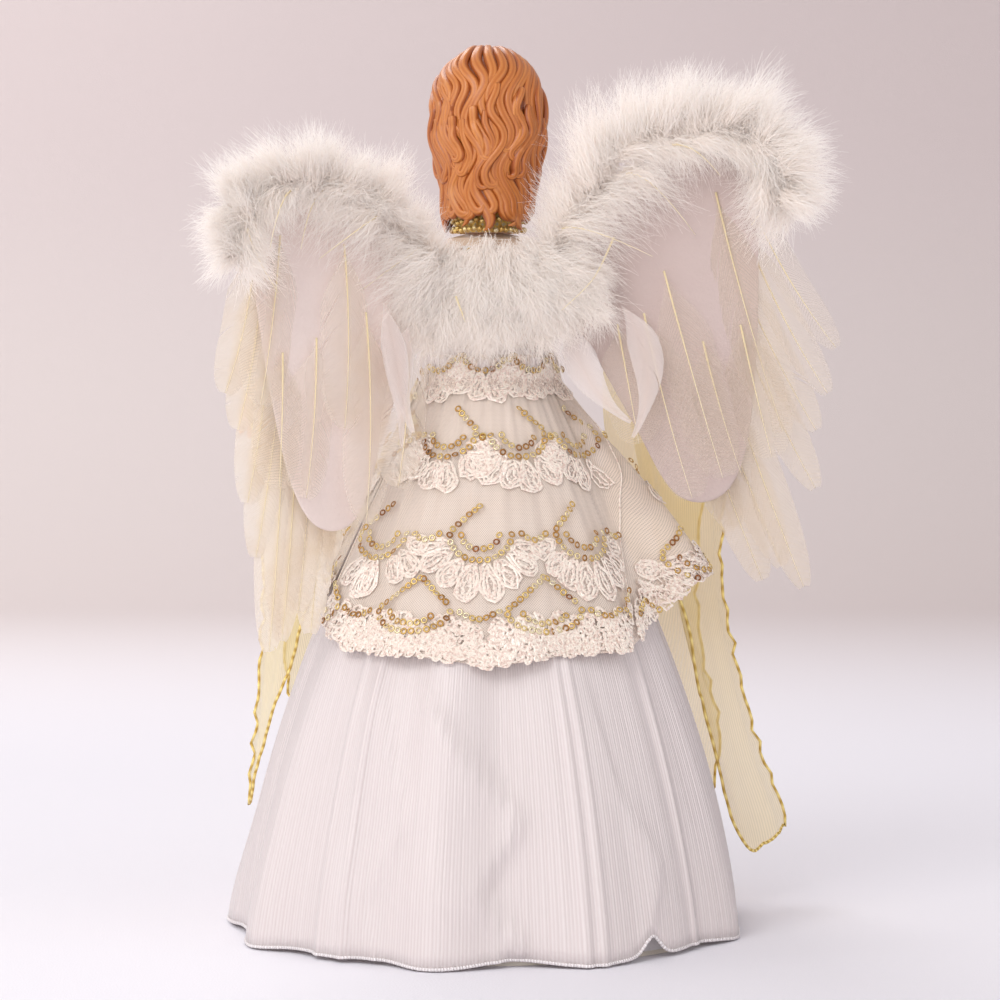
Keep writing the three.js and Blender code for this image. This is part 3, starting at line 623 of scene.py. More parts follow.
# %% Skirt sheet and rolled hem
skirt_angle, skirt_height = ring_grid(3 * PLEATS, 40, 0.0, SKIRT_TOP)
skirt_height = mix(skirt_hem(skirt_angle), SKIRT_TOP, skirt_height / SKIRT_TOP)
skirt_points = polar(skirt_radius(skirt_angle, skirt_height), skirt_angle, skirt_height)
skirt_uv = pair(skirt_angle * CONE_BASE_RADIUS, skirt_height) * MM
skirt_patch = grid_patch(satin, skirt_points, skirt_uv, around=True)
skirt_sheet = add_piece("skirt_cloth", [skirt_patch], "dress_body", ["skirt"])
solidify(skirt_sheet, 0.3)
hem_patch = tubes(overlock, skirt_points[:1] + 0.2 * UP, UP, 0.8, closed=True)
skirt_edge = add_piece("skirt_rolled_hem", [hem_patch], "dress_body")


def grid_area(points, around=False):
    """Area of a grid of points: half the cross product of each quad's diagonals, summed, in square metres.
    With around, the last column meets the first."""
    points = concatenate([points, points[:, :1]], axis=1) if around else points
    first = points[1:, 1:] - points[:-1, :-1]
    second = points[1:, :-1] - points[:-1, 1:]
    return float(np.linalg.norm(cross(first, second), axis=-1).sum() / 2) * MM * MM


grid_area(skirt_points, True)

# %% [markdown]
# ## The lace tunic
#
# Over the skirt hangs a tunic of fine net in two panels, open at the sides. The net's threads are far
# thinner than a mesh could follow, so the sheet is plain and its finish lets light through between two
# crossing sets of threads. What stands off the net, the sequins and the corded loops, is real geometry laid
# on the same surface.

# %% Radii and hems of the tunic
TUNIC_TOP = 258
TUNIC_HEM = 124
TUNIC_GIRTH = 75
FLARE_OUT, FLARE_LIFT, FLARE_TALL = 27, 13, 108
BACK_HALF_ANGLE = radians(62)
FLARE_WIDTH = radians(44)
back_edge = pi / 2 + BACK_HALF_ANGLE
TUCK_ANGLE, TUCK_DEPTH = 0.1, 1.1
SEAM_LEVEL, SEAM_LEAN = 170.0, 0.41
PANEL_ROWS = 48
slit = 0.6 / CONE_TOP_RADIUS


def flare_share(angle):
    """How much the front panel flares: a squared sine just past the back panel's edge on the right."""
    around = np.mod(angle, TAU) - back_edge
    inside = (around > 0) & (around < FLARE_WIDTH)
    return where(inside, sin(pi * around / FLARE_WIDTH) ** 2, 0)


def tunic_radius(angle, z):
    """Outside every fold of the skirt, with eleven shallow folds of its own that fade towards the waist."""
    fold = 3 * (1 - smoothstep(z, TUNIC_HEM, TUNIC_TOP)) * (0.5 + 0.5 * cos(11 * angle))
    return skirt_reach(np.minimum(z, CONE_HEIGHT)) + layer_gap + fold + CLOTH / 2


def back_hem(angle):
    """Scalloped, and higher at both sides than in the middle of the back and front."""
    return TUNIC_HEM + 4 * np.abs(sin(4 * angle)) + 22 * cos(angle) ** 4


def front_hem(angle):
    """As the back's hem, and lifted where the panel flares."""
    return back_hem(angle) + FLARE_LIFT * flare_share(angle)


def front_radius(angle, z):
    """The tunic's radius, pushed out by the flare over the last stretch above the hem."""
    drop = 1 - smoothstep(z, front_hem(angle), front_hem(angle) + FLARE_TALL)
    return tunic_radius(angle, z) + FLARE_OUT * flare_share(angle) * drop


def right_seam(z):
    """The angle of the seam on the doll's right. It leans, so that it hangs straight down."""
    return back_edge + radians(SEAM_LEAN * (z - SEAM_LEVEL))


def left_seam(z):
    """The angle of the other seam, which runs straight up the cone."""
    return pi - back_edge + 0 * z


# %% Net finish
net = Finish("tunic_net")
thread = net.crossing(TAU / 0.0022).eased(0.6, 0.95)
border = net.tone() * net.noise(700.0, 2.0).eased(0.3, 0.6)
net_shade = net.tint(net.noise(40.0), (236, 216, 198), (248, 234, 220))
net_shade = net.tint(border, net_shade, (236, 218, 204))
net_gloss = net.gloss(net_shade, 0.5, Sheen_Weight=0.3)
net.done(net.sheer(net_gloss, (0.44 + thread * 0.3).larger(border * 0.9)))


# %% Two net panels
def seam_angles(seam, row):
    """The angle at which each row meets a seam, found by steps because the hem's height depends on it."""
    angle = seam(np.full(len(row), SEAM_LEVEL))
    for _ in range(40):
        angle = seam(mix(front_hem(angle), TUNIC_TOP, row))
    return angle[:, None]


def panel_sheet(name, start, end, columns, nodes, tuck=0.0):
    """A sheet of net between two seams, hem to waist. Its first edge may be tucked under the other panel."""
    row = linspace(0, 1, PANEL_ROWS)
    angle = mix(seam_angles(start, row), seam_angles(end, row), linspace(0, 1, columns))
    z = mix(front_hem(angle), TUNIC_TOP, row[:, None])
    crease = 0.35 * cos(31 * angle + z / 40) + 0.25 * cos(53 * angle - z / 25)
    under = tuck * (1 - smoothstep(angle, right_seam(z), right_seam(z) + 0.08))
    points = polar(front_radius(angle, z) + crease - under, angle, z)
    border_tone = np.repeat(1 - smoothstep(row, 0.07, 0.13), columns)
    patch = grid_patch(net, points, pair(angle * TUNIC_GIRTH, z) * MM, border_tone)
    sheet = add_piece(name, [patch], "dress_body", nodes)
    return sheet, points


back_limits = (lambda z: left_seam(z) + slit, lambda z: right_seam(z) - slit)
front_limits = (lambda z: right_seam(z) + slit, lambda z: left_seam(z) + TAU - slit)
back_sheet, back_points = panel_sheet("tunic_back_net", *back_limits, 140, ["tunic_back_panel"])
front_sheet, front_points = panel_sheet("tunic_front_net", lambda z: right_seam(z) - TUCK_ANGLE,
                                        front_limits[1], 260, ["tunic_front_panel"], TUCK_DEPTH)

# %% [markdown]
# ## Laying a pattern on cloth
#
# The lace repeats one motif in staggered rows: a bowl of ring sequins with a pointed arch over it, sagging
# garlands between bowls, and a fan of corded petals below. Each line of it is drawn flat, in millimetres
# from the middle of its motif, then wrapped onto the panel at that angle and height. Two close neighbours of
# a point give the direction that faces out.

# %% Flat drawing to cloth
MOTIF_STEP = radians(41.33)
MOTIF_TURN = radians(87)


class LacePanel:
    """One panel of the tunic: its two seams, how far its pattern drops, and the lines laid on it."""

    def __init__(self, start, end, drop):
        self.start, self.end, self.drop = start, end, drop

    def wrap(self, angle, z, lift):
        """A point of the panel at an angle and a height, lifted off the cloth."""
        return polar(front_radius(angle, z) + lift, angle, z)

    def lay(self, middle, height, flat, lift):
        """Wraps flat lines round a motif's middle. Gives the points, outward directions and what fits."""
        z = height - self.drop + flat[..., 1]
        angle = middle + flat[..., 0] / front_radius(middle, height)
        points = self.wrap(angle, z, lift)
        along = self.wrap(angle + 0.01, z, lift) - points
        upward = self.wrap(angle, z + 0.5, lift) - points
        margin = 1.5 / front_radius(middle, height)
        fits = (angle > self.start(z) + margin) & (angle < self.end(z) - margin)
        fits &= (z > front_hem(angle) + 1) & (z < TUNIC_TOP)
        return points, unit(cross(along, upward)), fits

    def motifs(self, row):
        """The middles of the motifs of one row that touch the panel."""
        first = MOTIF_TURN + row.stagger * MOTIF_STEP
        low = np.ceil((self.start(row.height) - MOTIF_STEP / 2 - first) / MOTIF_STEP)
        high = np.floor((self.end(row.height) + MOTIF_STEP / 2 - first) / MOTIF_STEP)
        return first + arange(low, high + 1) * MOTIF_STEP


lace_panels = {
    "back": LacePanel(*back_limits, 0),
    "front": LacePanel(*front_limits, 12),
}
LaceRow = namedtuple("LaceRow", "height half depth arch petal stagger sides")
LACE_ROWS = [
    LaceRow(259, 9, 8, 0, 13, 0.0, ()),
    LaceRow(224, 12, 11, 11, 15, 0.5, ("right",)),
    LaceRow(181, 13, 12, 13, 17, 0.0, ("left",)),
    LaceRow(148, 17, 9, 14, 0, 0.5, ("left", "right")),
]
print("lace rows", len(LACE_ROWS), "with motifs", [len(lace_panels["back"].motifs(row)) for row in LACE_ROWS])

# %% [markdown]
# ## Ring sequins
#
# Each sequin is a small flat gold ring, sewn edge to edge along the lines of the motif. There are more than
# a thousand, so one ring is only thirty faces, and all rings of a panel are worked out as one array. Each is
# tipped a little its own way, which makes some flash and others look dark, as sewn sequins do.

# %% Gold finishes
gold = Finish("gold_sequin")
gold_shade = gold.ramp(gold.tone(), [(0.0, 150, 88, 42), (0.2, 206, 158, 80), (0.55, 238, 208, 132),
                                     (1.0, 255, 245, 208)])
gold.done(gold.gloss(gold_shade, 0.24, Metallic=0.65, Normal=gold.bump(gold.noise(2500.0), 0.00005)))


# %% Rings along the motifs
def even_points(flat, step):
    """Points an even step apart along a flat line, by its running length."""
    length = concatenate([[0], np.cumsum(np.linalg.norm(np.diff(flat, axis=0), axis=-1))])
    at = arange(step / 2, length[-1], step)
    return pair(np.interp(at, length, flat[:, 0]), np.interp(at, length, flat[:, 1]))


def motif_lines(row, spacing):
    """Flat lines of one motif: two nested half ellipses, straight sides of an arch, and a sagging garland."""
    turn = linspace(0, pi, 40)
    bowl = pair(-row.half * cos(turn), -row.depth * sin(turn))
    lines = [bowl, bowl * 0.62] if row.arch else [bowl]
    if row.arch:
        peak = [0.12 * row.half, row.arch]
        arch = {"left": [[-row.half, 0], peak], "right": [peak, [row.half, 1.5]]}
        lines += [array(arch[side]) for side in row.sides]
    share = linspace(0, 1, 20)
    sag = -3.5 * sin(pi * share)
    lines.append(pair(mix(row.half + 3, spacing - row.half - 3, share), sag))
    return [line for line in lines if np.ptp(line, axis=0).max() > 3]


SEQUIN_STEP = 3.05


def ring_batch(centres, normals, rng, outer=1.6, inner=0.8, sides=10):
    """A flat gold ring at each centre: a low triangle profile turned round the tipped outward direction."""
    count = len(centres)
    tipped = unit(normals + rng.normal(0, 0.2, (count, 3)))
    first = unit(cross(tipped, rng.normal(0, 1, (count, 3))))
    second = cross(tipped, first)
    turn = turns(sides)[:, None]
    spoke = cos(turn) * first[:, None] + sin(turn) * second[:, None]
    profile = [(outer, 0.0), (mix(inner, outer, 0.45), 0.32), (inner, 0.0)]
    rings = [centres[:, None] + reach * spoke + rise * tipped[:, None] for reach, rise in profile]
    points = np.stack(rings, 1).reshape(-1, 3)
    faces = [grid_faces(3, sides, True, True, count, flip=True)]
    return Patch(points, faces, gold, None, np.repeat(rng.beta(1.2, 1.4, count), 3 * sides))


# %% Sequins on both panels
def add_sequins(name, panel, seed):
    """All ring sequins of one panel as one piece."""
    rng = default_rng(seed)
    centres, normals = [], []
    for row in LACE_ROWS:
        for middle in panel.motifs(row):
            spacing = MOTIF_STEP * front_radius(middle, row.height)
            for line in motif_lines(row, spacing):
                flat = even_points(line, SEQUIN_STEP)
                flat = flat + rng.normal(0, 0.1, flat.shape)
                points, outward, fits = panel.lay(middle, row.height, flat, 2.0)
                centres.append(points[fits])
                normals.append(outward[fits])
    centres, normals = concatenate(centres), concatenate(normals)
    print(name, "has", len(centres), "rings")
    return add_piece(name, [ring_batch(centres, normals, rng)], "dress_body")


back_sequins = add_sequins("tunic_back_sequins", lace_panels["back"], 11)
front_sequins = add_sequins("tunic_front_sequins", lace_panels["front"], 12)

# %% [markdown]
# ## Corded petals and the looped border
#
# Below each bowl a fan of teardrop loops is couched down with pearly thread, and a dense tangle of such
# loops edges the hem. Curves with a bevel would make hundreds of objects. Instead every loop is one row of a
# large array of closed paths, and one call gives all of them a flat section. A sheer film fills each petal.

# %% Pearl thread
pearl = Finish("pearl_thread")
PEARL_TINTS = [(0.3, 210, 184, 170), (0.42, 230, 206, 192), (0.54, 244, 232, 218), (0.66, 234, 222, 206),
               (0.78, 238, 202, 196)]
pearl_shade = pearl.ramp(pearl.noise(800.0, 2.0), PEARL_TINTS)
pearl_twist = pearl.bump(pearl.noise(3000.0), 0.0001)
pearl.done(pearl.gloss(pearl_shade, 0.2, Normal=pearl_twist, Coat_Weight=0.8, Sheen_Weight=0.6))

film = Finish("pearl_film")
film_grain = film.noise(900.0, 2.0)
film_shade = film.tint(film_grain.eased(0.4, 0.65), (236, 214, 200), (248, 236, 224))
film_gloss = film.gloss(film_shade, 0.3, Normal=film.bump(film_grain, 0.0002), Sheen_Weight=0.5)
film.done(film.sheer(film_gloss, 0.3 + film_grain.eased(0.42, 0.6) * 0.45))


# %% Loops of cord
LOOP_STEPS = 16
STRIP = array([[1.0, 0.0], [0.0, 0.4], [-1.0, 0.0], [0.0, -0.4]])


def teardrop(lean, start, length, width, steps=LOOP_STEPS):
    """A closed petal: along its axis by one minus cosine, across by a sine that is narrow at the root."""
    turn = turns(steps)
    along = start + length * (1 - cos(turn)) / 2
    across = width / 2 * sin(turn) * ((1 - cos(turn)) / 2 + 0.15) ** 0.5
    return pair(*spin(across, -along, lean))


def fan_loops(row, rng):
    """The petals of one motif: eight leaning left to right, each three loops inside one another."""
    leans = radians(linspace(-70, 70, 8)) + rng.normal(0, 0.05, 8)
    loops = []
    for lean in leans:
        start = 1 / np.hypot(sin(lean) / row.half, cos(lean) / row.depth) + 1
        length = row.petal * (1 - 0.24 * abs(lean)) * rng.uniform(0.88, 1.1)
        loops += [teardrop(lean, start + inset * length, (1 - 1.5 * inset) * length, width)
                  for inset, width in ((0.0, 9.6), (0.12, 6.6), (0.3, 3.0))]
    return array(loops) + rng.normal(0, 0.35, (len(loops), LOOP_STEPS, 2))


def border_loops(count, rng):
    """Small tangled ovals, each squashed and turned its own way."""
    turn = turns(LOOP_STEPS)
    wide, tall, lean = (rng.uniform(*limits, (count, 1)) for limits in ((1.6, 3.2), (1.0, 2.4), (0, pi)))
    flat = pair(*spin(wide * cos(turn), tall * sin(turn) + 0.5 * sin(2 * turn + lean), lean))
    return flat + rng.normal(0, 0.15, flat.shape)


# %% Cords on both panels
def add_cords(name, panel, border, seed):
    """All corded loops of one panel: fans below the bowls, then the border just above the hem."""
    rng = default_rng(seed)
    paths, ups, films = [], [], []
    for row in LACE_ROWS:
        for middle in panel.motifs(row) if row.petal else []:
            points, outward, fits = panel.lay(middle, row.height, fan_loops(row, rng), 1.0)
            whole = fits.all(axis=1)
            paths.append(points[whole])
            ups.append(outward[whole])
            films.append((points - 0.1 * outward)[::3][whole[::3]])
    across, row = rng.uniform(0, 1, border), rng.beta(1.1, 1.6, border) * 17 / (TUNIC_TOP - TUNIC_HEM) + 0.01
    middles = mix(seam_angles(panel.start, row)[:, 0] + 0.03, seam_angles(panel.end, row)[:, 0] - 0.03,
                  across)
    heights = mix(front_hem(middles), TUNIC_TOP, row)
    loops = border_loops(border, rng)
    angle = middles[:, None] + loops[..., 0] / front_radius(middles, heights)[:, None]
    z = maximum(heights[:, None] + loops[..., 1], front_hem(angle) - 0.5)
    lift = 0.7 + 0.8 * rng.uniform(0, 1, (border, 1))
    paths.append(panel.wrap(clip(angle, panel.start(z), panel.end(z)), z, lift))
    ups.append(polar(1.0, angle, 0.35))
    paths, ups = concatenate(paths), concatenate(ups)
    wobble = rng.normal(0, 0.14, paths.shape)
    loops = tubes(pearl, paths + wobble, ups, rng.uniform(0.4, 0.9, paths.shape[:2]), 4, True, STRIP)
    petals = concatenate(films)
    film_faces = arange(len(petals) * LOOP_STEPS).reshape(-1, LOOP_STEPS)
    print(name, "has", len(paths), "loops and", len(petals), "petals")
    cords = add_piece(name, [loops, Patch(petals.reshape(-1, 3), [film_faces], film)], "dress_body")
    cords.data.shade_flat()
    return cords


back_cords = add_cords("tunic_back_cords", lace_panels["back"], 520, 21)
front_cords = add_cords("tunic_front_cords", lace_panels["front"], 880, 22)
edge_paths = np.stack([back_points[:, 0], back_points[:, -1]])
edge_patch = tubes(pearl, edge_paths, unit(edge_paths * [1, 1, 0]), 0.4)
back_binding = add_piece("tunic_back_binding", [edge_patch], "dress_body")
grid_area(back_points)
grid_area(front_points)

# %% [markdown]
# ## The frame of a wing
#
# Each wing is flat in its own frame: u runs outwards, v upwards and w backwards from its hinge. The left
# wing is swept back and droops, the right one lies almost square and is raised, so one small class turns a
# flat drawing into the doll's space. The drawing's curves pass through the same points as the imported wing.

# %% Wing frames and flat curves
HINGE_PLACE = array([16, 29.584, 292.4])
LEADING_EDGE = [[8, 6], [36, 38], [68, 57], [96, 50], [105, 22]]
TRAILING_EDGE = [[101, -35], [93, -82], [80, -103], [60, -100], [42, -64], [22, -24], [8, -12]]
FLIGHT_ROOTS = [[101, 32], [90, 0], [72, -14], [52, -12]]
FLIGHT_TIPS = {
    "left": [[121, -42], [116, -58], [113, -90], [110, -114], [100, -152], [90, -140], [84, -151],
             [71, -121]],
    "right": [[136, -42], [131, -62], [125, -78], [123, -104], [115, -148], [106, -138], [97, -144],
              [86, -120]],
}
COVERT_ROOTS = {
    "left": [[90, 36], [94, -26], [77, -21], [60, 27], [52, -12], [31, -26]],
    "right": [[87, 36], [94, -28], [77, -34], [62, -2], [52, -20], [40, -24]],
}
COVERT_TIPS = {
    "left": [[108, -48], [103, -84], [89, -90], [68, -62], [62, -104], [45, -90]],
    "right": [[110, -78], [104, -88], [90, -94], [82, -96], [68, -104], [46, -78]],
}
FLIGHTS, COVERTS = 8, 6
BOA_LINE = [[9, 4], [36, 50], [68, 70], [98, 68], [114, 52], [118, 24]]
LONG_FEATHER = {"left": [[86, -8], [107, -156]]}
FLIGHT_WIDTHS = {"left": (21.0, 23.0), "right": (15.0, 22.0)}
FLIGHT_COVER = {"left": (0.62, 0.88), "right": (0.28, 0.62)}
COVERT_COVER = {"left": (0.28, 0.46), "right": (0.16, 0.34)}
WING_PANEL = 1.2
FEATHER_PITCH = 1.2


def curve(points, share):
    """A smooth curve through points: cubics whose end slopes are half the span of the neighbours."""
    points = np.asarray(points, float)
    last = len(points) - 1
    at = clip(np.asarray(share, float), 0, 1) * last
    i = np.minimum(at.astype(int), last - 1)
    t = (at - i)[..., None]
    before, start, end, after = (points[clip(i + k, 0, last)] for k in (-1, 0, 1, 2))
    first, second = (end - before) / 2, (after - start) / 2
    cubic = 2 * start - 2 * end + first + second
    square = 3 * end - 3 * start - 2 * first - second
    return cubic * t ** 3 + square * t ** 2 + first * t + start


class Wing:
    """One wing: its side, how far it is swept back, raised and arched, and the way from its flat frame."""

    def __init__(self, name, side, sweep, lift, arch):
        self.name, self.side, self.arch = name, side, arch
        self.body = name + "_wing"
        self.sweep, self.lift = radians(sweep), radians(lift)

    def arched(self, points):
        """What lies above the hinge is scaled by the wing's arch."""
        points = array(points, float)
        points[:, 1] *= where(points[:, 1] > 0, self.arch, 1)
        return points

    def turn(self, flat):
        """Turns flat directions (u, v, w): raised about the level axis, then swept about the upright one."""
        u, v = spin(flat[..., 0], flat[..., 1], self.lift)
        out, back = spin(u, flat[..., 2], self.sweep)
        return vector(self.side * out, back, v)

    def place(self, flat):
        """Flat points in the doll's space, from the wing's hinge."""
        return self.turn(flat) + HINGE_PLACE * [self.side, 1, 1]


wings = [Wing("left", 1, 37, -5, 0.66), Wing("right", -1, 4, 4, 0.86)]
print("wing tips at", [np.round(wing.place(array([128.0, -36, 0]))).tolist() for wing in wings])

# %% [markdown]
# ## Felt panels
#
# Between wire and feathers each wing has a smooth panel of pale rose-grey felt. Its outline runs along the
# leading edge and back along the trailing edge. A grid that blends the two edges would pinch at the ends, so
# rings shrink the outline towards its middle, and a low profile across the rim rounds the cut edge.

# %% Felt panels
felt = Finish("wing_felt")
felt_fibre = felt.noise(700.0, 4.0)
# The right panel takes a darker copy of the felt's colours and the left a paler one: painted shade on one
# felt.
felt_shaded_copy = felt.tint(felt.noise(26.0), (190, 170, 164), (200, 182, 176))
felt_lit_copy = felt.tint(felt.noise(26.0), (222, 204, 197), (232, 216, 209))
felt_painted_shade = felt.tint(felt.tone(), felt_shaded_copy, felt_lit_copy)
felt.done(felt.gloss(felt_painted_shade, 0.85, Normal=felt.bump(felt_fibre, 0.0003), Sheen_Weight=0.3))


def add_panel(wing):
    """Rings from the panel's middle out to its outline on the back, over the rim, and in on the front."""
    share = linspace(0, 1, 61)
    leading = curve(wing.arched(LEADING_EDGE), share)
    trailing = curve(wing.arched([LEADING_EDGE[-1], *TRAILING_EDGE]), linspace(0, 1, 121))
    inner = mix(trailing[-1], leading[0], linspace(0, 1, 13)[:, None])
    outline = concatenate([leading[:-1], trailing[:-1], inner[:-1]])
    middle = array([58.0, -18.0])
    reach = concatenate([linspace(0.02, 0.985, 16), [0.996, 1.0, 1.0, 0.996], linspace(0.985, 0.02, 16)])
    lean = concatenate([np.ones(16), [0.8, 0.3, -0.3, -0.8], -np.ones(16)]) * WING_PANEL / 2
    flat = middle + reach[:, None, None] * (outline - middle)
    points = wing.place(deep(flat, lean[:, None]))
    # The left panel's tone picks the paler, lit copy of the felt and the right's the darker one: painted
    # shade.
    pale = np.full(flat[..., 0].size, 0.5 + 0.5 * wing.side)
    patch = grid_patch(felt, points, None, pale, around=True, flip=wing.side < 0)
    patch.faces.extend(end_faces(*flat.shape[:2], flip=wing.side < 0))
    add_piece(wing.name + "_wing_felt", [patch], wing.body, [wing.name + "_wing_panel"])


for wing in wings:
    add_panel(wing)

steel = Finish("soft_steel_wire")
wire_scratch = steel.noise(900.0, 4.0)
steel_shade = steel.tint(wire_scratch, (146, 144, 140), (196, 194, 190))
steel.done(steel.gloss(steel_shade, 0.3 + wire_scratch * 0.2, Metallic=1.0))
for wing in wings:
    keep_node(wing.name + "_wing_wire", steel)

# %% [markdown]
# ## Feathers
#
# A feather is a shaft with barbs on both sides that lie together as a vane, and splits open where the barbs
# part. A flat leaf with a picture on it would lose that. Here each side of the vane is a row of slanted
# strips, each a small group of barbs with a low ridge. Most close up to a smooth edge. A few part from their
# neighbours and narrow, which opens a split. The shaft is a tapered tube of yellow horn.

# %% Feather finishes
vane = Finish("feather_vane")
vane_along, vane_across = vane.cut()
barb = ((vane_along * 900.0) + (vane_across * 30.0)).sine() * 0.5 + 0.5
vane_age = vane.noise(45.0, 2.0)
vane_shade = vane.tint(vane_age.eased(0.3, 0.7), (241, 226, 208), (247, 238, 228))
vane_near = vane.tint(vane_across.eased(0.25, 0.0) * 0.4, vane_shade, (243, 226, 188))
# Feathers on the doll's right, at negative x, are tinted a darker cream: painted shade over the right wing.
vane_side, _, _ = vane.parts(vane.place())
vane_right_painted_shade = vane.tint(vane_side.eased(-0.03, -0.07) * 0.8, vane_near, (222, 206, 188))
vane_gloss = vane.gloss(vane_right_painted_shade, 0.5, Normal=vane.bump(barb, 0.00015, 0.5), Sheen_Weight=0.3)
vane.done(vane.sheer(vane.through(vane_gloss, (250, 241, 226), 0.35), vane.tone()))

quill = Finish("feather_quill")
quill_along, _ = quill.cut()
quill_shade = quill.tint(quill_along, (250, 236, 196), (253, 246, 226))
quill_gloss = quill.gloss(quill_shade, 0.35, Normal=quill.bump(quill.noise(1200.0), 0.0001), Coat_Weight=0.2)
quill.done(quill.through(quill_gloss, (252, 238, 200), 0.35))


# %% Vane and shaft
def vane_share(t):
    """Half width along a feather: it opens from the quill into a full vane and closes in a rounded tip."""
    closing = sqrt(maximum(0, 1 - maximum(0, (t - 0.66) / 0.34) ** 2.2))
    return mix(0.2, 1, smoothstep(t, -0.05, 0.24)) * closing


def shaft_line(root, tip, bow, t):
    """A flat bow from root to tip and the direction across it: a quadratic curve through a shifted middle."""
    across = unit(pair(root[..., 1] - tip[..., 1], tip[..., 0] - root[..., 0]))
    middle = (root + tip) / 2 + across * bow[..., None]
    root, tip, middle = (p.reshape(p.shape[:1] + (1,) * (t.ndim - 1) + (2,)) for p in (root, tip, middle))
    s = t[..., None]
    place = (1 - s) ** 2 * root + 2 * s * (1 - s) * middle + s ** 2 * tip
    ahead = unit(2 * (1 - s) * (middle - root) + 2 * s * (tip - middle))
    return place, pair(-ahead[..., 1], ahead[..., 0])


BARB_STRIPS, STRIP_ROWS, STRIP_COLUMNS = 46, 7, 3
SHAFT_STEPS = 26


def feather_group(wing, root, tip, width, bow, w, curl, cover, seed, splits=0.045, slim=0.0):
    """Feathers as strips on both sides of their shafts, and the shafts. A slim one narrows early to its
    tip."""
    rng = default_rng(seed)
    count = len(root)
    sign = array([-1.0, 1.0])[None, :, None, None, None]
    number = arange(BARB_STRIPS)[None, None, :, None, None]
    out = linspace(0, 1, STRIP_ROWS)[None, None, None, :, None]
    lean = linspace(0, 1, STRIP_COLUMNS)[None, None, None, None, :]
    shape = (count, 2, BARB_STRIPS, 1, 1)
    parted = rng.uniform(0, 1, shape) < splits
    narrow = where(parted, rng.uniform(0.5, 1.2, shape), 0.0)
    length = rng.uniform(0.985, 1.01, shape) - 0.12 * parted * rng.uniform(0, 1, shape)
    slip = rng.normal(0, 0.05, shape) + parted * rng.normal(0, 0.6, shape)
    strip = number + 0.5 + (lean - 0.5) * (1 - narrow * out ** 2) * 1.3
    base = 0.03 + 0.95 * strip / BARB_STRIPS
    t = clip(base + 0.3 * out * (1 - base) * (0.5 + 0.5 * out), 0, 1)
    t = broadcast_to(t, (count, 2, BARB_STRIPS, STRIP_ROWS, STRIP_COLUMNS))
    place, across = shaft_line(root, tip, bow, t)
    half = width.reshape(-1, 1, 1, 1, 1) / 2 * vane_share(t) * out * length
    half = half * where(sign > 0, 1.0, 0.86) * (1 - slim * smoothstep(t, 0.4, 0.9))
    flat = place + across * (sign * half)[..., None]
    ridge = 0.16 * (1 - (2 * lean - 1) ** 2) * sqrt(out)
    bend = curl.reshape(-1, 1, 1, 1, 1)
    cup = rng.uniform(0.6, 1.8, (count, 1, 1, 1, 1)) * (half / 10) ** 2
    wave = 0.5 * out * sin(9 * t + rng.uniform(0, TAU, (count, 2, 1, 1, 1)))
    depth = w.reshape(-1, 1, 1, 1, 1) + bend * t ** 2 - cup + ridge + slip * out + wave
    points = wing.place(deep(flat, depth)).reshape(-1, 3)
    tone = broadcast_to(cover.reshape(-1, 1, 1, 1, 1) * (1 - 0.2 * out), t.shape).ravel()
    sides = [grid_faces(STRIP_ROWS, STRIP_COLUMNS, count=BARB_STRIPS, flip=wing.side * s < 0)
             for s in (1, -1)]
    half_vane = BARB_STRIPS * STRIP_ROWS * STRIP_COLUMNS
    faces = concatenate([sides[k % 2] + k * half_vane for k in range(2 * count)])
    steps = broadcast_to(linspace(0, 0.985, SHAFT_STEPS), (count, SHAFT_STEPS))
    line, _ = shaft_line(root, tip, bow, steps)
    rise = w[:, None] + curl[:, None] * steps ** 2 + 0.15
    shafts = tubes(quill, wing.place(deep(line, rise)), wing.turn(UP), mix(0.48, 0.1, steps))
    return [Patch(points, [faces], vane, pair(t, out).reshape(-1, 2), tone), shafts]


# %% Flight feathers and coverts
def add_feathers(wing):
    """The eight flight feathers in front of the panel and the six coverts behind it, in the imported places.
    One more long feather hangs among the left flight feathers."""
    rng = default_rng(31 + wing.side)
    share = linspace(0, 1, FLIGHTS)
    root = curve(wing.arched(FLIGHT_ROOTS), share)
    tip = array(FLIGHT_TIPS[wing.name], float)
    w = -WING_PANEL / 2 - (arange(FLIGHTS) + 0.5) * FEATHER_PITCH - 0.2
    wide, thin = FLIGHT_WIDTHS[wing.name], FLIGHT_COVER[wing.name]
    flight = feather_group(wing, root, tip, mix(*wide, share), mix(-5.0, -2.0, share), w,
                           rng.uniform(-2.5, 0.5, FLIGHTS), mix(*thin, share ** 0.7), 41 + wing.side)
    names = [f"{wing.name}_flight_feather_{i + 1}" for i in range(FLIGHTS)]
    if wing.name in LONG_FEATHER:
        long_root, long_tip = array(LONG_FEATHER[wing.name], float)[:, None]
        flight += feather_group(wing, long_root, long_tip, array([21.0]), array([-4.0]), w[3:4] - 0.6,
                                array([-1.0]), array([0.75]), 45)
    add_piece(wing.name + "_flight_feathers", flight, wing.body, names)
    root = wing.arched(COVERT_ROOTS[wing.name])
    tip = array(COVERT_TIPS[wing.name], float)
    w = WING_PANEL / 2 + (arange(COVERTS) + 0.5) * FEATHER_PITCH + 0.2
    limits = (24, 28), (-6, 1), (0.3, 3), COVERT_COVER[wing.name]
    wide, bow, curl, cover = (rng.uniform(*span, COVERTS) for span in limits)
    covert = feather_group(wing, root, tip, wide, bow, w, curl, cover, 51 + wing.side, 0.07)
    names = [f"{wing.name}_covert_feather_{i + 1}" for i in range(COVERTS)]
    add_piece(wing.name + "_covert_feathers", covert, wing.body, names)


for wing in wings:
    add_feathers(wing)

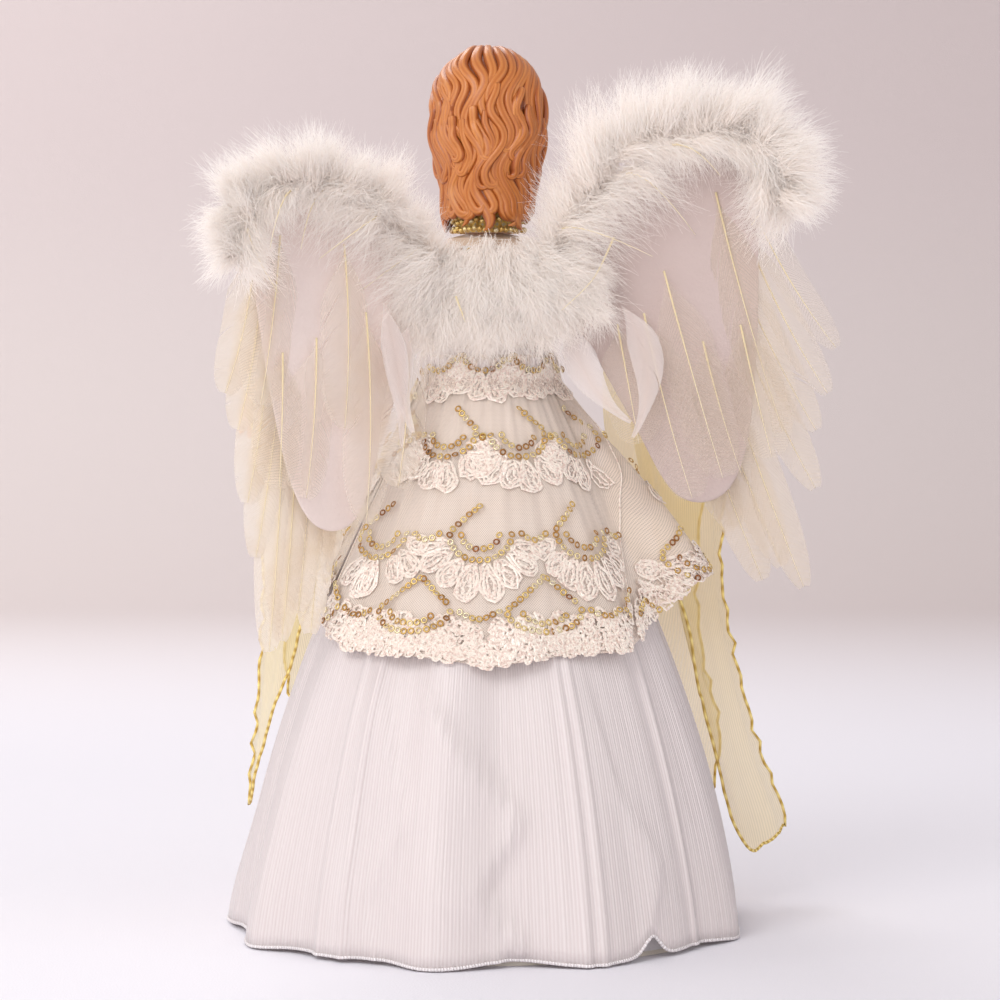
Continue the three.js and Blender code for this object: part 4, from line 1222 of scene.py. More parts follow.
# %% Small curled feathers
white_vane = Finish("white_vane")
white_along, white_across = white_vane.cut()
white_shade = white_vane.tint(white_across, (236, 222, 216), (248, 240, 238))
white_barb = ((white_along * 500.0) + (white_across * 30.0)).sine()
white_gloss = white_vane.gloss(
    white_shade, 0.45, Normal=white_vane.bump(white_barb, 0.0001, 0.4), Sheen_Weight=0.4)
white_vane.done(white_vane.sheer(white_vane.through(white_gloss, (255, 249, 245), 0.4), white_vane.tone()))
CURLED = {
    "left": ([[31, -18], [46, -6]], [[40, -66], [47, -72]], [9, -10]),
    "right": ([[20, -18], [41, -14]], [[44, -68], [43, -75]], [-15, 20]),
}


def add_curled(wing, seed):
    """A few soft feathers that hang loose over the coverts and curl at their long tips."""
    rng = default_rng(seed)
    root, tip, bow = (array(values, float) for values in CURLED[wing.name])
    count = len(bow)
    w = WING_PANEL / 2 + 7.5 * FEATHER_PITCH + arange(count) * 0.8
    curled = feather_group(wing, root, tip, rng.uniform(14, 17, count), bow, w, rng.uniform(4, 9, count),
                           rng.uniform(0.7, 0.85, count), seed, 0.02, 0.72)
    add_piece(wing.name + "_curled_feathers", [curled[0]._replace(finish=white_vane)], wing.body)


add_curled(wings[0], 56)
add_curled(wings[1], 57)

# %% [markdown]
# ## Marabou down
#
# The down along the wings and between them is marabou: soft quills with thousands of loose fine barbs. A
# smooth shape with a fur picture would look solid at its edge, where the wisps matter most. Here every barb
# is a tapered ribbon of its own. Barbs grow in clumps from a line or a mound, leave it in one direction and
# bend into another, as if combed, and their flat sides look outwards, so the mass shades softly.

# %% Down finish
down = Finish("marabou_down")
down_along, _ = down.cut()
down_pale = down.tint(down.tone(), (250, 239, 230), (255, 253, 249))
# The barbs darken towards their roots, deep in the mass: painted shade.
down_root_painted_shade = down.tint(down_along.eased(0.45, 0.0), down_pale, (247, 237, 228))
down_gloss = down.gloss(down_root_painted_shade, 0.8, Sheen_Weight=0.8)
down.done(down.through(down_gloss, (255, 251, 248), 0.48))

# %% Barbs as ribbons
BARB_STEPS = 5


def barb_ribbons(root, first, target, facing, rng, thick=0.15):
    """Ribbons that leave their roots in a first direction and bend evenly towards their targets: the root,
    plus first times t less t squared times the length, plus t squared of the way to the target, and a slow
    side wave."""
    count = len(root)
    t = linspace(0, 1, BARB_STEPS)[:, None]
    span = target - root
    size = np.linalg.norm(span, axis=-1)[:, None, None]
    side = unit(cross(first + unit(span), facing + rng.normal(0, 0.35, (count, 3))))[:, None]
    phase, pace = rng.uniform(0, 2, (count, 1, 1)), rng.uniform(0.8, 2.2, (count, 1, 1))
    wave = rng.normal(0, 0.06, (count, 1, 1)) * sin(pi * (pace * t + phase)) * t
    path = root[:, None] + size * (first[:, None] * (t - t ** 2) + side * wave) + span[:, None] * t ** 2
    wide = side * thick * (1 - 0.8 * t) * rng.uniform(0.7, 1.3, (count, 1, 1))
    points = np.stack([path - wide, path + wide], axis=2)
    uv = broadcast_to(pair(t, array([0.0, 1.0])), points.shape[:-1] + (2,))
    tone = np.repeat(clip(rng.normal(0.6, 0.3, count), 0, 1), 2 * BARB_STEPS)
    faces = [grid_faces(BARB_STEPS, 2, count=count)]
    return Patch(points.reshape(-1, 3), faces, down, uv.reshape(-1, 2), tone)


def bare_quills(path, up):
    """Pale bare shafts among the barbs: thin rounds along paths, thinner towards their ends."""
    return tubes(quill, path, up, linspace(0.5, 0.15, path.shape[1])[None], 5)


# %% Down along the wings
TUFTS, OUTER_BARBS, FALLING_BARBS = 96, 300, 185
BOA_SIZES = {"left": [15, 21, 27, 26, 21], "right": [15, 36, 35, 30, 25]}


def add_boa(wing, seed):
    """The down along one wing, in tufts that open like fans. Of every five, two are combed outwards and lean
    along the wing, two sweep along the boa's line and fall over the panel, and one stands backwards over the
    parting."""
    rng = default_rng(seed)
    line = wing.arched(BOA_LINE)
    kind = arange(TUFTS) % 5
    outer, standing = kind % 2 < 1, kind == 4
    middle = (arange(TUFTS) + rng.uniform(0, 1, TUFTS)) / TUFTS
    ahead = unit(curve(line, np.minimum(middle + 0.02, 1)) - curve(line, maximum(middle - 0.02, 0)))
    over = pair(-ahead[:, 1], ahead[:, 0])
    lean = where(outer, rng.normal(0.3, 0.4, TUFTS), rng.normal(0.7, 0.35, TUFTS))
    inside = (1 - smoothstep(middle, 0.16, 0.42))[:, None]
    fall = mix(array([0.0, -0.9]), array([0.9, -0.55]), inside)
    fall = fall + ahead * (lean * mix(1, 0.2, inside[:, 0]))[:, None]
    fall = mix(fall, array([-0.4, -0.85]), smoothstep(middle, 0.65, 0.85)[:, None])
    away = where(outer[:, None], over + ahead * lean[:, None], fall)
    away = unit(deep(away, rng.normal(0.12, 0.22, TUFTS)))
    upright = unit(rng.normal(0, 0.5, (TUFTS, 3)) + UP)
    away = where(standing[:, None], upright, away)
    leave = where(outer[:, None], over + ahead * (lean - 0.3)[:, None],
                  mix(1.1, 0.3, inside) * ahead - 0.2 * over)
    leave = unit(deep(leave, rng.normal(0.3, 0.3, TUFTS)))
    outer_size = rng.uniform(0.6, 1.1, TUFTS) * np.interp(
        middle, [0, 0.14, 0.3, 0.7, 1], BOA_SIZES[wing.name])
    size = where(outer, outer_size, rng.uniform(15, 30, TUFTS) + 13 * inside[:, 0])
    size = where(standing, rng.uniform(11, 15, TUFTS), size)
    depth = where(standing, rng.uniform(5, 9, TUFTS), rng.uniform(3, 13, TUFTS))
    sunk = where(outer, rng.uniform(-3, 2, TUFTS), rng.uniform(-10, 0, TUFTS))[:, None] * over
    start = deep(curve(line, middle) + sunk, depth)
    tip = start + away * size[:, None]

    pick = np.repeat(arange(TUFTS), where(outer, OUTER_BARBS, FALLING_BARBS))
    count = len(pick)
    share = clip(middle[pick] + rng.normal(0, 0.012, count), 0, 1)
    root = curve(line, share) + sunk[pick] + rng.normal(0, 1.6, (count, 2))
    root = deep(root, depth[pick] + rng.normal(0, 2.0, count))
    open_angle = rng.normal(0, where(standing, 1.2, where(outer, 0.3, 0.5))[pick])
    backwards = away[pick, 2] * where(standing[pick], rng.uniform(0, 1, count), 1)
    backwards = backwards + rng.normal(0.1, 0.25, count)
    heading = vector(*spin(away[pick, 0], away[pick, 1], open_angle), backwards)
    reach = size[pick] * rng.uniform(0.35, 1.1, count) * (1 - 0.3 * np.minimum(1, np.abs(open_angle)))
    target = root + unit(heading) * reach[:, None]
    first = unit(where(standing[:, None], upright, leave)[pick] + rng.normal(0, 0.3, (count, 3)))
    facing = vector(0, 0, where(rng.uniform(0, 1, count) < 0.85, 1.0, -1.0))
    barbs = barb_ribbons(wing.place(root), wing.turn(first), wing.place(target), wing.turn(facing), rng)

    t = linspace(0, 1, 10)[:, None]
    shafts = np.flatnonzero(~outer)[3::6]
    start = start[shafts] + 3 * UP
    span = (tip[shafts] - start)[:, None] * 1.15
    path = start[:, None] + 20 * leave[shafts][:, None] * (t - t ** 2) + span * t ** 2
    quills = bare_quills(wing.place(path), wing.turn(UP))
    add_piece(wing.name + "_wing_down", [barbs, quills], wing.body, [wing.name + "_wing_marabou"])


add_boa(wings[0], 62)
add_boa(wings[1], 60)

# %% Down between the wings
MOUND = array([49.0, 13.5, 20.0])
MOUND_CENTRE = array([-1.0, 36.5, 288.0])
MOUND_TUFTS, MOUND_BARBS = 66, 340
MOUND_NECK = array([0.0, 0.0, 314.0])
MOUND_QUILLS = [[[14, 283], [9, 270], [2, 256]], [[-55, 309], [-46, 291], [-32, 277]]]
GOLDEN_ANGLE = pi * (3 - sqrt(5))
NECK_TUFTS, NECK_BARBS = 22, 100


def mound_surface(x, z):
    """A point on the mound under the down: half of a flattened ball, with a level rim."""
    far = ((x - MOUND_CENTRE[0]) / MOUND[0]) ** 2 + ((z - MOUND_CENTRE[2]) / MOUND[2]) ** 2
    return vector(x, MOUND_CENTRE[1] + MOUND[1] * sqrt(maximum(0.02, 1 - far)), z)


def mound_tufts(rng):
    """Roots, first directions and targets of the barbs. Tufts lie evenly over the mound, by the golden
    angle, and each opens like a fan about an axis that points away from the neck."""
    number = arange(MOUND_TUFTS)
    far = sqrt((number + 0.5) / MOUND_TUFTS)
    x = MOUND_CENTRE[0] + MOUND[0] * far * cos(number * GOLDEN_ANGLE)
    z = MOUND_CENTRE[2] + MOUND[2] * far * sin(number * GOLDEN_ANGLE)
    start = mound_surface(x, z)
    axis = unit((start - MOUND_NECK) * [1.0, 0.0, 1.0]) + rng.normal(0, 0.3, start.shape)
    size = rng.uniform(10, 19, MOUND_TUFTS) * mix(1.2, 0.8, smoothstep(z, 268, 306))

    pick = np.repeat(number, MOUND_BARBS)
    count = len(pick)
    root = start[pick] + rng.normal(0, 1, (count, 3)) * [2.2, 1.0, 2.2]
    open_angle = rng.normal(0, 0.6, count)
    sideways, upwards = spin(axis[pick, 0], axis[pick, 2], open_angle)
    heading = unit(vector(sideways, rng.normal(0.45, 0.35, count), upwards))
    reach = (size[pick] * rng.uniform(0.4, 1.1, count))[:, None]
    target = root + reach * (heading - 0.15 * UP)
    first = unit(0.5 * axis[pick] + 0.9 * BACK + rng.normal(0, 0.3, (count, 3)))
    return root, first, target


def neck_tufts(rng):
    """The same for the barbs on top of the mound, which lean forwards over the yoke."""
    centre = rng.uniform([0, 29, 291], [1, 42, 296], (NECK_TUFTS, 3))
    centre[:, 0] = linspace(-38, 36, NECK_TUFTS)
    heading = rng.normal(0, 0.4, (NECK_TUFTS, 3)) * [1.0, 0.4, 0.4] + [0.0, -0.9, 0.35]
    pick = np.repeat(arange(NECK_TUFTS), NECK_BARBS)
    scatter = rng.normal(0, 1, (2, len(pick), 3))
    root = centre[pick] + 1.8 * scatter[0]
    target = root + rng.uniform(6, 15, (len(pick), 1)) * unit(heading[pick] + 0.35 * scatter[1])
    first = unit(rng.normal(0, 0.3, (len(pick), 3)) + [0.0, -0.3, 0.9])
    return root, first, target


mound_rng = default_rng(71)
mound_barbs = barb_ribbons(*mound_tufts(mound_rng), array([0.0, 1.0, 0.2]), mound_rng)
neck_barbs = barb_ribbons(*neck_tufts(mound_rng), UP, mound_rng)
quill_flat = array([curve(points, linspace(0, 1, 14)) for points in MOUND_QUILLS])
mound_shafts = bare_quills(mound_surface(quill_flat[..., 0], quill_flat[..., 1]) + 10 * BACK, BACK)
back_down = add_piece("back_down", [mound_barbs, neck_barbs, mound_shafts], None, ["back_marabou"])
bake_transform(back_down)

# %% [markdown]
# ## Torso, bodice and yoke
#
# The torso is a plain moulding under a close bodice, and the yoke that holds the wings sits on its back
# under the down. Torso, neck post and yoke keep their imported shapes. The bodice is a sheet of lined lace
# drawn tight over the torso, with an oval section whose half width swells to the chest and rounds over at
# the shoulders.

# %% Moulded plastic
plastic = moulded("moulded_plastic", 50.0, (216, 190, 168), (230, 208, 188), 0.45, 900.0, 0.00008)
for node in ("torso", "neck_post", "wing_yoke"):
    keep_node(node, plastic)

# %% Bodice
TORSO_BASE = 248.4
TORSO_HEIGHT = 64
TORSO_TOP = TORSO_BASE + TORSO_HEIGHT
TORSO_DEPTH = 0.72
BODICE_LOW, BODICE_HIGH = 248.8, 306.4


def torso_half_width(z):
    """From waist to chest by a smooth step, then round over to the neck as a quarter ellipse."""
    share = (z - TORSO_BASE) / TORSO_HEIGHT
    swell = mix(25, 31, smoothstep(share, 0, 0.62))
    over = clip((share - 0.62) / 0.38, 0, 1)
    return where(share <= 0.62, swell, mix(11, 31, sqrt(1 - over ** 2)))


def bodice_place(angle, z, lift=0.0):
    """A point of the bodice: the torso's oval section, one gap and half the cloth further out."""
    reach = torso_half_width(z) + CLEARANCE + CLOTH / 2 + lift
    return vector(reach * cos(angle), TORSO_DEPTH * reach * sin(angle), z)


lined_lace = Finish("bodice_lace")
lace_relief = lined_lace.cells(260.0).eased(0.16, 0.02) * 0.8 + lined_lace.cells(900.0).eased(0.2, 0.0) * 0.2
lace_shade = lined_lace.tint(lace_relief, (228, 216, 208), (250, 246, 240))
lined_lace.done(lined_lace.gloss(
    lace_shade, 0.45, Normal=lined_lace.bump(lace_relief, 0.0006), Sheen_Weight=0.3))

bodice_angle, bodice_share = ring_grid(160, 60, 0.0, 1.0)
bodice_z = mix(BODICE_LOW, BODICE_HIGH, bodice_share)
bodice_crease = 0.25 * cos(17 * bodice_angle + bodice_z / 9) * sin(pi * bodice_share)
bodice_points = bodice_place(bodice_angle, bodice_z, bodice_crease)
bodice_patch = grid_patch(lined_lace, bodice_points, around=True)
bodice_sheet = add_piece("bodice_cloth", [bodice_patch], "dress_body", ["bodice"])
solidify(bodice_sheet, 0.5)

# %% Sequin rows and the waist band
trim_rows = [(250.5, 54, 4.6, 0), (304.5, 40, 0.9, 0), (292.0, 56, 0.9, 6)]
trim_centres, trim_normals = [], []
for trim_z, trim_count, trim_lift, trim_dip in trim_rows:
    trim_angle = turns(trim_count)
    height = trim_z - trim_dip * cos(trim_angle + pi / 2) ** 8
    trim_centres.append(bodice_place(trim_angle, height, trim_lift))
    trim_normals.append(vector(cos(trim_angle), sin(trim_angle) * 1.3, 0.2))
trim_patch = ring_batch(concatenate(trim_centres), unit(concatenate(trim_normals)), default_rng(81))
bodice_trim = add_piece("bodice_sequins", [trim_patch], "dress_body")

band_turn = turns(160)
band_profile = array([[29.2, 250.5], [30.6, 252.5], [31.3, 255.5], [30.7, 258.6], [29.0, 260.4],
                      [27.6, 260.8], [26.2, 259.8], [25.9, 256.0], [26.4, 252.0]])
band_gather = 0.22 * cos(48 * band_turn) * array([0, 0.6, 1, 0.6, 0.2, 0, 0, 0, 0])[:, None]
band_reach = band_profile[:, :1] + band_gather
band_oval = mix(1.0, 0.9, smoothstep(band_profile[:, 1:], 252, 261))
band_points = vector(band_reach * cos(band_turn), band_oval * band_reach * sin(band_turn),
                     band_profile[:, 1:])
band_uv = pair(band_turn * 0.03, band_profile[:, 1:] * MM).reshape(-1, 2)
band_faces = [grid_faces(len(band_profile), len(band_turn), True, True)]
band_patch = Patch(band_points.reshape(-1, 3), band_faces, satin, band_uv)
add_piece("waist_band", [band_patch], "dress_body")
grid_area(bodice_points, True)

# %% [markdown]
# ## Collar
#
# Round the neck stands a small frill of gold-edged net with two rows of gold beads. The frill is a sheet
# whose radius waves more and more towards its free edge. The beads are strung on the same ring, and each is
# a small round of a few dozen faces.

# %% Frill and beads
gilt_net = Finish("gilt_net")
gilt_mesh = gilt_net.crossing(900.0).eased(0.5, 0.9)
gilt_shade = gilt_net.tint(gilt_mesh, (232, 222, 178), (214, 178, 92))
gilt_gloss = gilt_net.gloss(gilt_shade, 0.35, Metallic=gilt_mesh * 0.5, Sheen_Weight=0.3)
gilt_net.done(gilt_net.sheer(gilt_gloss, 0.5 + gilt_mesh * 0.45))

COLLAR_LOW, COLLAR_HIGH = 313.0, 322.0
frill_angle, frill_share = ring_grid(360, 14, 0.0, 1.0)
frill_wave = 1.3 * frill_share * cos(26 * frill_angle) + 0.5 * frill_share * cos(41 * frill_angle)
frill_reach = mix(13.2, 15.8, frill_share) + frill_wave
frill_points = polar(frill_reach, frill_angle, mix(COLLAR_LOW, COLLAR_HIGH, frill_share))
frill_patch = grid_patch(gilt_net, frill_points, pair(frill_angle * 15, frill_share * 9) * MM, around=True)
frill = add_piece("collar_frill", [frill_patch], "dress_body", ["collar"])

BEADS, BEAD_RADIUS = 42, 1.25
bead_rng = default_rng(91)
bead_centres = concatenate([
    polar(reach + bead_rng.normal(0, jitter, BEADS), turns(BEADS) + turn, z + bead_rng.normal(0, drop, BEADS))
    for reach, jitter, turn, z, drop in ((16.4, 0.25, 0.0, 314.4, 0.3), (16.9, 0.35, 0.07, 318.4, 0.5))])
bead_ball = ball_grid(6, 8, 0.25).reshape(-1, 3)
bead_points = (bead_centres[:, None] + BEAD_RADIUS * bead_ball).reshape(-1, 3)
bead_faces = [grid_faces(6, 8, False, True, 2 * BEADS), *end_faces(6, 8, 2 * BEADS)]
bead_tone = np.repeat(bead_rng.uniform(0.3, 1, 2 * BEADS), len(bead_ball))
bead_patch = Patch(bead_points, bead_faces, gold, None, bead_tone)
collar_beads = add_piece("collar_beads", [bead_patch], "dress_body")
grid_area(frill_points, True)

# %% [markdown]
# ## Head and face
#
# The head is a painted moulding with a calm doll's face of plain proportions. It is a ball whose jaw
# narrows, raised and sunk by soft bumps for brow, nose, cheeks, lips and chin. The paint is worked out from
# where a point lies on the face, so brows, eyes and lips stay crisp however coarse the mesh is.

# %% Painted skin
HEAD_CENTRE = 358.4
HEAD_HALF = array([20.0, 22.5, 28.0])

SKIN_TINTS = (232, 186, 156), (240, 200, 172)
skin = moulded("painted_skin", 120.0, *SKIN_TINTS, 0.42, 1500.0, 0.00006, Coat_Weight=0.15)

face = Finish("painted_face")
face_x, face_y, face_z = face.parts(face.place())
across = abs(face_x) / (HEAD_HALF[0] * MM)
upward = (face_z - HEAD_CENTRE * MM) / (HEAD_HALF[2] * MM)
ahead = face_y.eased(0.004, -0.008)


def spot(x, z, wide, tall, soft=0.2):
    """A painted oval, mirrored on both halves of the face: 1 inside and 0 outside, with a soft edge."""
    far = ((across - x) / wide) ** 2.0 + ((upward - z) / tall) ** 2.0
    return far.eased(1 + soft, 1 - soft) * ahead


face_paint = face.tint(face.noise(120.0), *SKIN_TINTS)
for x, z, wide, tall, soft, colour, share in [
        (0.44, -0.24, 0.26, 0.2, 0.9, (226, 140, 122), 0.55),
        (0.36, 0.02, 0.2, 0.1, 0.5, (186, 132, 104), 0.55),
        (0.36, 0.0, 0.155, 0.062, 0.12, (246, 242, 236), 1.0),
        (0.36, 0.004, 0.07, 0.058, 0.12, (92, 116, 128), 1.0),
        (0.36, 0.004, 0.034, 0.03, 0.12, (24, 20, 20), 1.0),
        # A small white dot in each eye: a painted highlight.
        (0.335, 0.024, 0.014, 0.012, 0.2, (250, 250, 250), 1.0),
        (0.0, -0.415, 0.17, 0.03, 0.25, (190, 88, 86), 0.9),
        (0.0, -0.465, 0.13, 0.036, 0.25, (202, 104, 98), 0.9)]:
    face_paint = face.tint(spot(x, z, wide, tall, soft) * share, face_paint, colour)
lash = spot(0.36, 0.012, 0.178, 0.075, 0.1) * (1 - spot(0.36, -0.01, 0.182, 0.074, 0.1))
brow = spot(0.37, 0.17, 0.21, 0.075, 0.25) * (1 - spot(0.37, 0.145, 0.24, 0.078, 0.25))
face_paint = face.tint(lash, face_paint, (70, 44, 32))
face_paint = face.tint(brow * 0.85, face_paint, (150, 88, 48))
face_normal = face.bump(face.noise(1500.0), 0.00006)
face.done(face.gloss(face_paint, 0.38, Normal=face_normal, Coat_Weight=0.2))


# %% Head with soft bumps
FACE_BUMPS = [
    (0, -0.21, 0.12, 0.075, 1.9), (0.1, -0.24, 0.06, 0.05, 0.9), (0.33, 0.16, 0.26, 0.09, 0.7),
    (0.36, 0.01, 0.2, 0.12, -1.5), (0.36, 0.0, 0.13, 0.08, 1.0), (0.43, -0.25, 0.24, 0.18, 1.0),
    (0, -0.405, 0.15, 0.03, 0.75), (0, -0.47, 0.13, 0.035, 0.9), (0, -0.437, 0.17, 0.013, -0.5),
    (0, -0.74, 0.2, 0.16, 1.3),
]


def face_relief(x, z):
    """How far the face stands out in millimetres: the bridge of the nose plus smooth bumps at plain
    proportions."""
    total = 2.4 * exp(-(x / 0.1) ** 2) * smoothstep(z, -0.3, -0.16) * (1 - smoothstep(z, -0.1, 0.2))
    for across, up, wide, tall, height in FACE_BUMPS:
        total = total + height * exp(-((np.abs(x) - across) / wide) ** 2 - ((z - up) / tall) ** 2)
    return total


head_rows, head_columns = 150, 240
ball_x, ball_y, ball_z = np.moveaxis(ball_grid(head_rows, head_columns, 0.02), -1, 0)
jaw = where(ball_z < 0, 1 - 0.3 * np.abs(ball_z) ** 1.6, 1)
relief = where(ball_y < 0, face_relief(ball_x * jaw, ball_z) * smoothstep(-ball_y, 0, 0.35), 0)
head_points = vector(ball_x * jaw * HEAD_HALF[0], ball_y * HEAD_HALF[1] - relief,
                     HEAD_CENTRE + ball_z * HEAD_HALF[2])
head_patch = grid_patch(face, head_points, around=True)
head_patch.faces.extend(end_faces(head_rows, head_columns))
neck_z = linspace(TORSO_TOP + 0.4, HEAD_CENTRE - 8, 14)
neck_reach = (9 + 1.4 * (1 - smoothstep(neck_z, TORSO_TOP, TORSO_TOP + 9)) ** 2)[None]
neck_patch = tubes(skin, vector(0, 0, neck_z)[None], BACK, neck_reach, 40)
add_piece("head_moulding", [head_patch, neck_patch], "head_unit", ["head"])

# %% [markdown]
# ## Hair
#
# The hair is one moulding, modelled as broad locks that wave down to curled ends, and painted auburn. It
# could be sculpted by hand, or pressed into a cap as a height, but a height can't make one lock lie over
# another. Here each lock is a flattened round that runs down a lane from the crown, sways, and ends in a
# curl. Shorter locks lie over the first layer. The paint is darker on the low side of each lock's section
# and in its grooves, and lighter on its crest: painted shade and painted highlight.

# %% Hair paint
hair_paint = Finish("painted_hair")
# Low tones give dark paint and high tones light paint; they carry painted shade and painted highlight on each
# lock.
hair_painted_light = hair_paint.ramp(hair_paint.tone(), [(0.0, 108, 46, 16), (0.3, 150, 74, 28), (0.65, 184, 104, 44),
                                                 (1.0, 212, 136, 68)])
hair_worn = hair_paint.tint(hair_paint.noise(90.0).eased(0.58, 0.75) * 0.25, hair_painted_light, (232, 176, 124))
hair_speck = hair_paint.bump(hair_paint.noise(1200.0), 0.0001)
hair_paint.done(hair_paint.gloss(hair_worn, 0.36, Normal=hair_speck, Coat_Weight=0.15))

# %% The cap under the locks
HAIR_TOP, HAIR_BOTTOM = 397.4, 325.4
HAIR_HALF_WIDTH, HAIR_HALF_DEPTH = 25.5, 25.4
HAIR_SET_BACK = 3.5
HAIR_TALL = HAIR_TOP - HAIR_BOTTOM
LOCK_WAVE = 32.0
CROWN_STEPS, LINE_STEPS, CURL_STEPS, LOCK_SIDES = 12, 52, 18, 20
WHORL = array([0.0, -0.3])


def hair_share(h):
    """Width of the hair from its ends at 0 to its crown at 1, as a share of its widest."""
    body = mix(0.8, 1, smoothstep(h, 0, 0.45))
    crown = sqrt(maximum(0, 1 - (clip(h - 0.55, 0, 1) / 0.45) ** 2.2))
    return where(h < 0.55, body, crown)


def cap_point(turn, h):
    """A point of the smooth cap under the locks, at an angle from the back and a height from 0 to 1."""
    share = hair_share(h)
    return vector(-share * HAIR_HALF_WIDTH * sin(turn), share * HAIR_HALF_DEPTH * cos(turn) + HAIR_SET_BACK,
                  mix(HAIR_BOTTOM, HAIR_TOP, h))


def cap_outward(turn, h):
    """The direction away from the cap: across a small step round it and a small step up it."""
    around = cap_point(turn + 0.01, h) - cap_point(turn - 0.01, h)
    upward = cap_point(turn, h + 0.004) - cap_point(turn, h - 0.004)
    return unit(cross(around, upward))


# %% Paths of the locks
def combed_turn(lane, h):
    """The angle that a lane has at a height. Low down they are the same. Near the crown all lanes run to a
    point that lies further and further in front, so the angle is where a ray from that point meets the
    cap."""
    ahead = 0.85 * smoothstep(h, 0.5, 0.95)
    reach = ahead * cos(lane) + sqrt(maximum(0, hair_share(h) ** 2 - (ahead * sin(lane)) ** 2))
    return np.arctan2(reach * sin(lane), reach * cos(lane) - ahead), reach


def lock_paths(lane, top, low, curl, rng):
    """Locks as paths of angle and height: down a lane with a sway, one wave in LOCK_WAVE millimetres, then a
    curl that turns faster and faster. The limits low and curl are for the height of its end and its whole
    turn, either way."""
    low = rng.uniform(*low, len(lane))
    way = rng.choice([-1, 1], len(lane))
    curl = rng.uniform(*curl, len(lane))
    tries = linspace(0.985, 0.3, 300)
    open_lane = (combed_turn(lane[:, None], tries)[1] > 0.02) & (tries <= top[:, None])
    start = tries[np.argmax(open_lane, axis=1)]
    h = mix(start[:, None], low[:, None], linspace(0, 1, LINE_STEPS))
    turn, _ = combed_turn(lane[:, None], h)
    phase = TAU * (1 - h) * HAIR_TALL / LOCK_WAVE - 0.86 + 2.0 * turn + rng.normal(0, 0.25, (len(lane), 1))
    sway = rng.uniform(3.2, 4.6, (len(lane), 1)) * sin(phase) * smoothstep(start[:, None] - h, 0, 0.25)
    turn = turn + sway / (HAIR_HALF_DEPTH * maximum(hair_share(h), 0.5))
    wide = HAIR_HALF_DEPTH * hair_share(h[:, -1:])
    heading = np.arctan2((turn[:, -1:] - turn[:, -3:-2]) * wide, (h[:, -3:-2] - h[:, -1:]) * HAIR_TALL)
    bent = heading + (way * curl)[:, None] * linspace(0, 1, CURL_STEPS) ** 1.25
    pace = rng.uniform(8, 13, (len(lane), 1)) / CURL_STEPS
    curl_turn = turn[:, -1:] + np.cumsum(sin(bent) * pace, axis=1) / wide
    curl_h = h[:, -1:] - np.cumsum(cos(bent) * pace, axis=1) / HAIR_TALL
    return concatenate([turn, curl_turn], 1), concatenate([h, curl_h], 1)


def over_crown(turn, h):
    """Locks lengthened upwards: straight in plan from where they start to the whorl, or a little inwards
    where they start below the crown, at the height where the cap is that wide."""
    plan = hair_share(h[:, :1])[..., None] * pair(sin(turn[:, :1]), cos(turn[:, :1]))
    end = where(h[:, :1, None] > 0.98, WHORL, 0.8 * plan)
    way = mix(end, plan, linspace(0, 1, CROWN_STEPS, endpoint=False)[:, None])
    way_h = 0.55 + 0.45 * (1 - np.sum(way ** 2, axis=-1)) ** (1 / 2.2)
    return concatenate([np.arctan2(way[..., 0], way[..., 1]), turn], 1), concatenate([way_h, h], 1)


# %% Locks and cap as one moulding
def lock_patch(turn, h, half_width, lift, rng):
    """Locks as flattened rounds along their paths, thin at both ends, with three combed grooves on top.
    Their half widths and their lifts off the cap are drawn between limits."""
    count, steps = turn.shape
    half_width, lift = rng.uniform(*half_width, count), rng.uniform(*lift, count)
    t = linspace(0, 1, LINE_STEPS + CURL_STEPS)
    t = concatenate([linspace(-0.17, 0, steps - len(t), endpoint=False), t])
    around = turns(LOCK_SIDES)
    groove = 1 - 0.13 * cos(3 * (around - pi / 2)) ** 4 * (sin(around) > 0.1)
    profile = pair(cos(around) * groove, 0.8 * sin(around) * groove)
    taper = mix(0.45, 1, smoothstep(t, -0.17, 0.1)) * sqrt(1 - 0.985 * smoothstep(t, 0.7, 1.0) ** 2)
    outward = cap_outward(turn, clip(h, -0.1, 0.99))
    weave = 0.45 * sin(TAU * 2.3 * t + rng.uniform(0, TAU, (count, 1)))
    path = cap_point(turn, h) + outward * (lift[:, None] + weave)[..., None]
    # The tone is low on the side of a lock facing the cap and in its grooves, and high on its crest: painted
    # shade and painted highlight.
    crest = clip(0.5 + 0.5 * sin(around), 0, 1) ** 1.5 * groove ** 3
    tone = clip(0.92 * crest + rng.normal(0, 0.05, (count, 1, 1)), 0, 1)
    tone = broadcast_to(tone, (count, steps, LOCK_SIDES)).ravel()
    return tubes(hair_paint, path, outward, half_width[:, None] * taper, LOCK_SIDES, False, profile, tone)


hair_rows, hair_columns = 60, 120
hair_h = concatenate([np.zeros(5), sin(linspace(0, pi / 2 - 0.01, hair_rows - 5))])[:, None]
hair_tuck = concatenate([linspace(1, 0.16, 5), np.zeros(hair_rows - 5)])[:, None]
hair_turn = radians(mix(118, 180, smoothstep(hair_h, 0.5, 0.84))) * linspace(-1, 1, hair_columns)
cap_points = cap_point(hair_turn, broadcast_to(hair_h, hair_turn.shape))
inward = 0.96 - 0.2 * hair_tuck
cap_points[..., 0] *= inward
cap_points[..., 1] = (cap_points[..., 1] - HAIR_SET_BACK) * inward + HAIR_SET_BACK
cap_points[..., 2] -= 1.6 * smoothstep(hair_h, 0.8, 1)
# The cap carries a low tone, the dark end of the paint: painted shade in the gaps between the locks.
cap_patch = grid_patch(hair_paint, cap_points, None, np.full(hair_rows * hair_columns, 0.1))
cap_patch.faces.append(end_faces(hair_rows, hair_columns)[1])

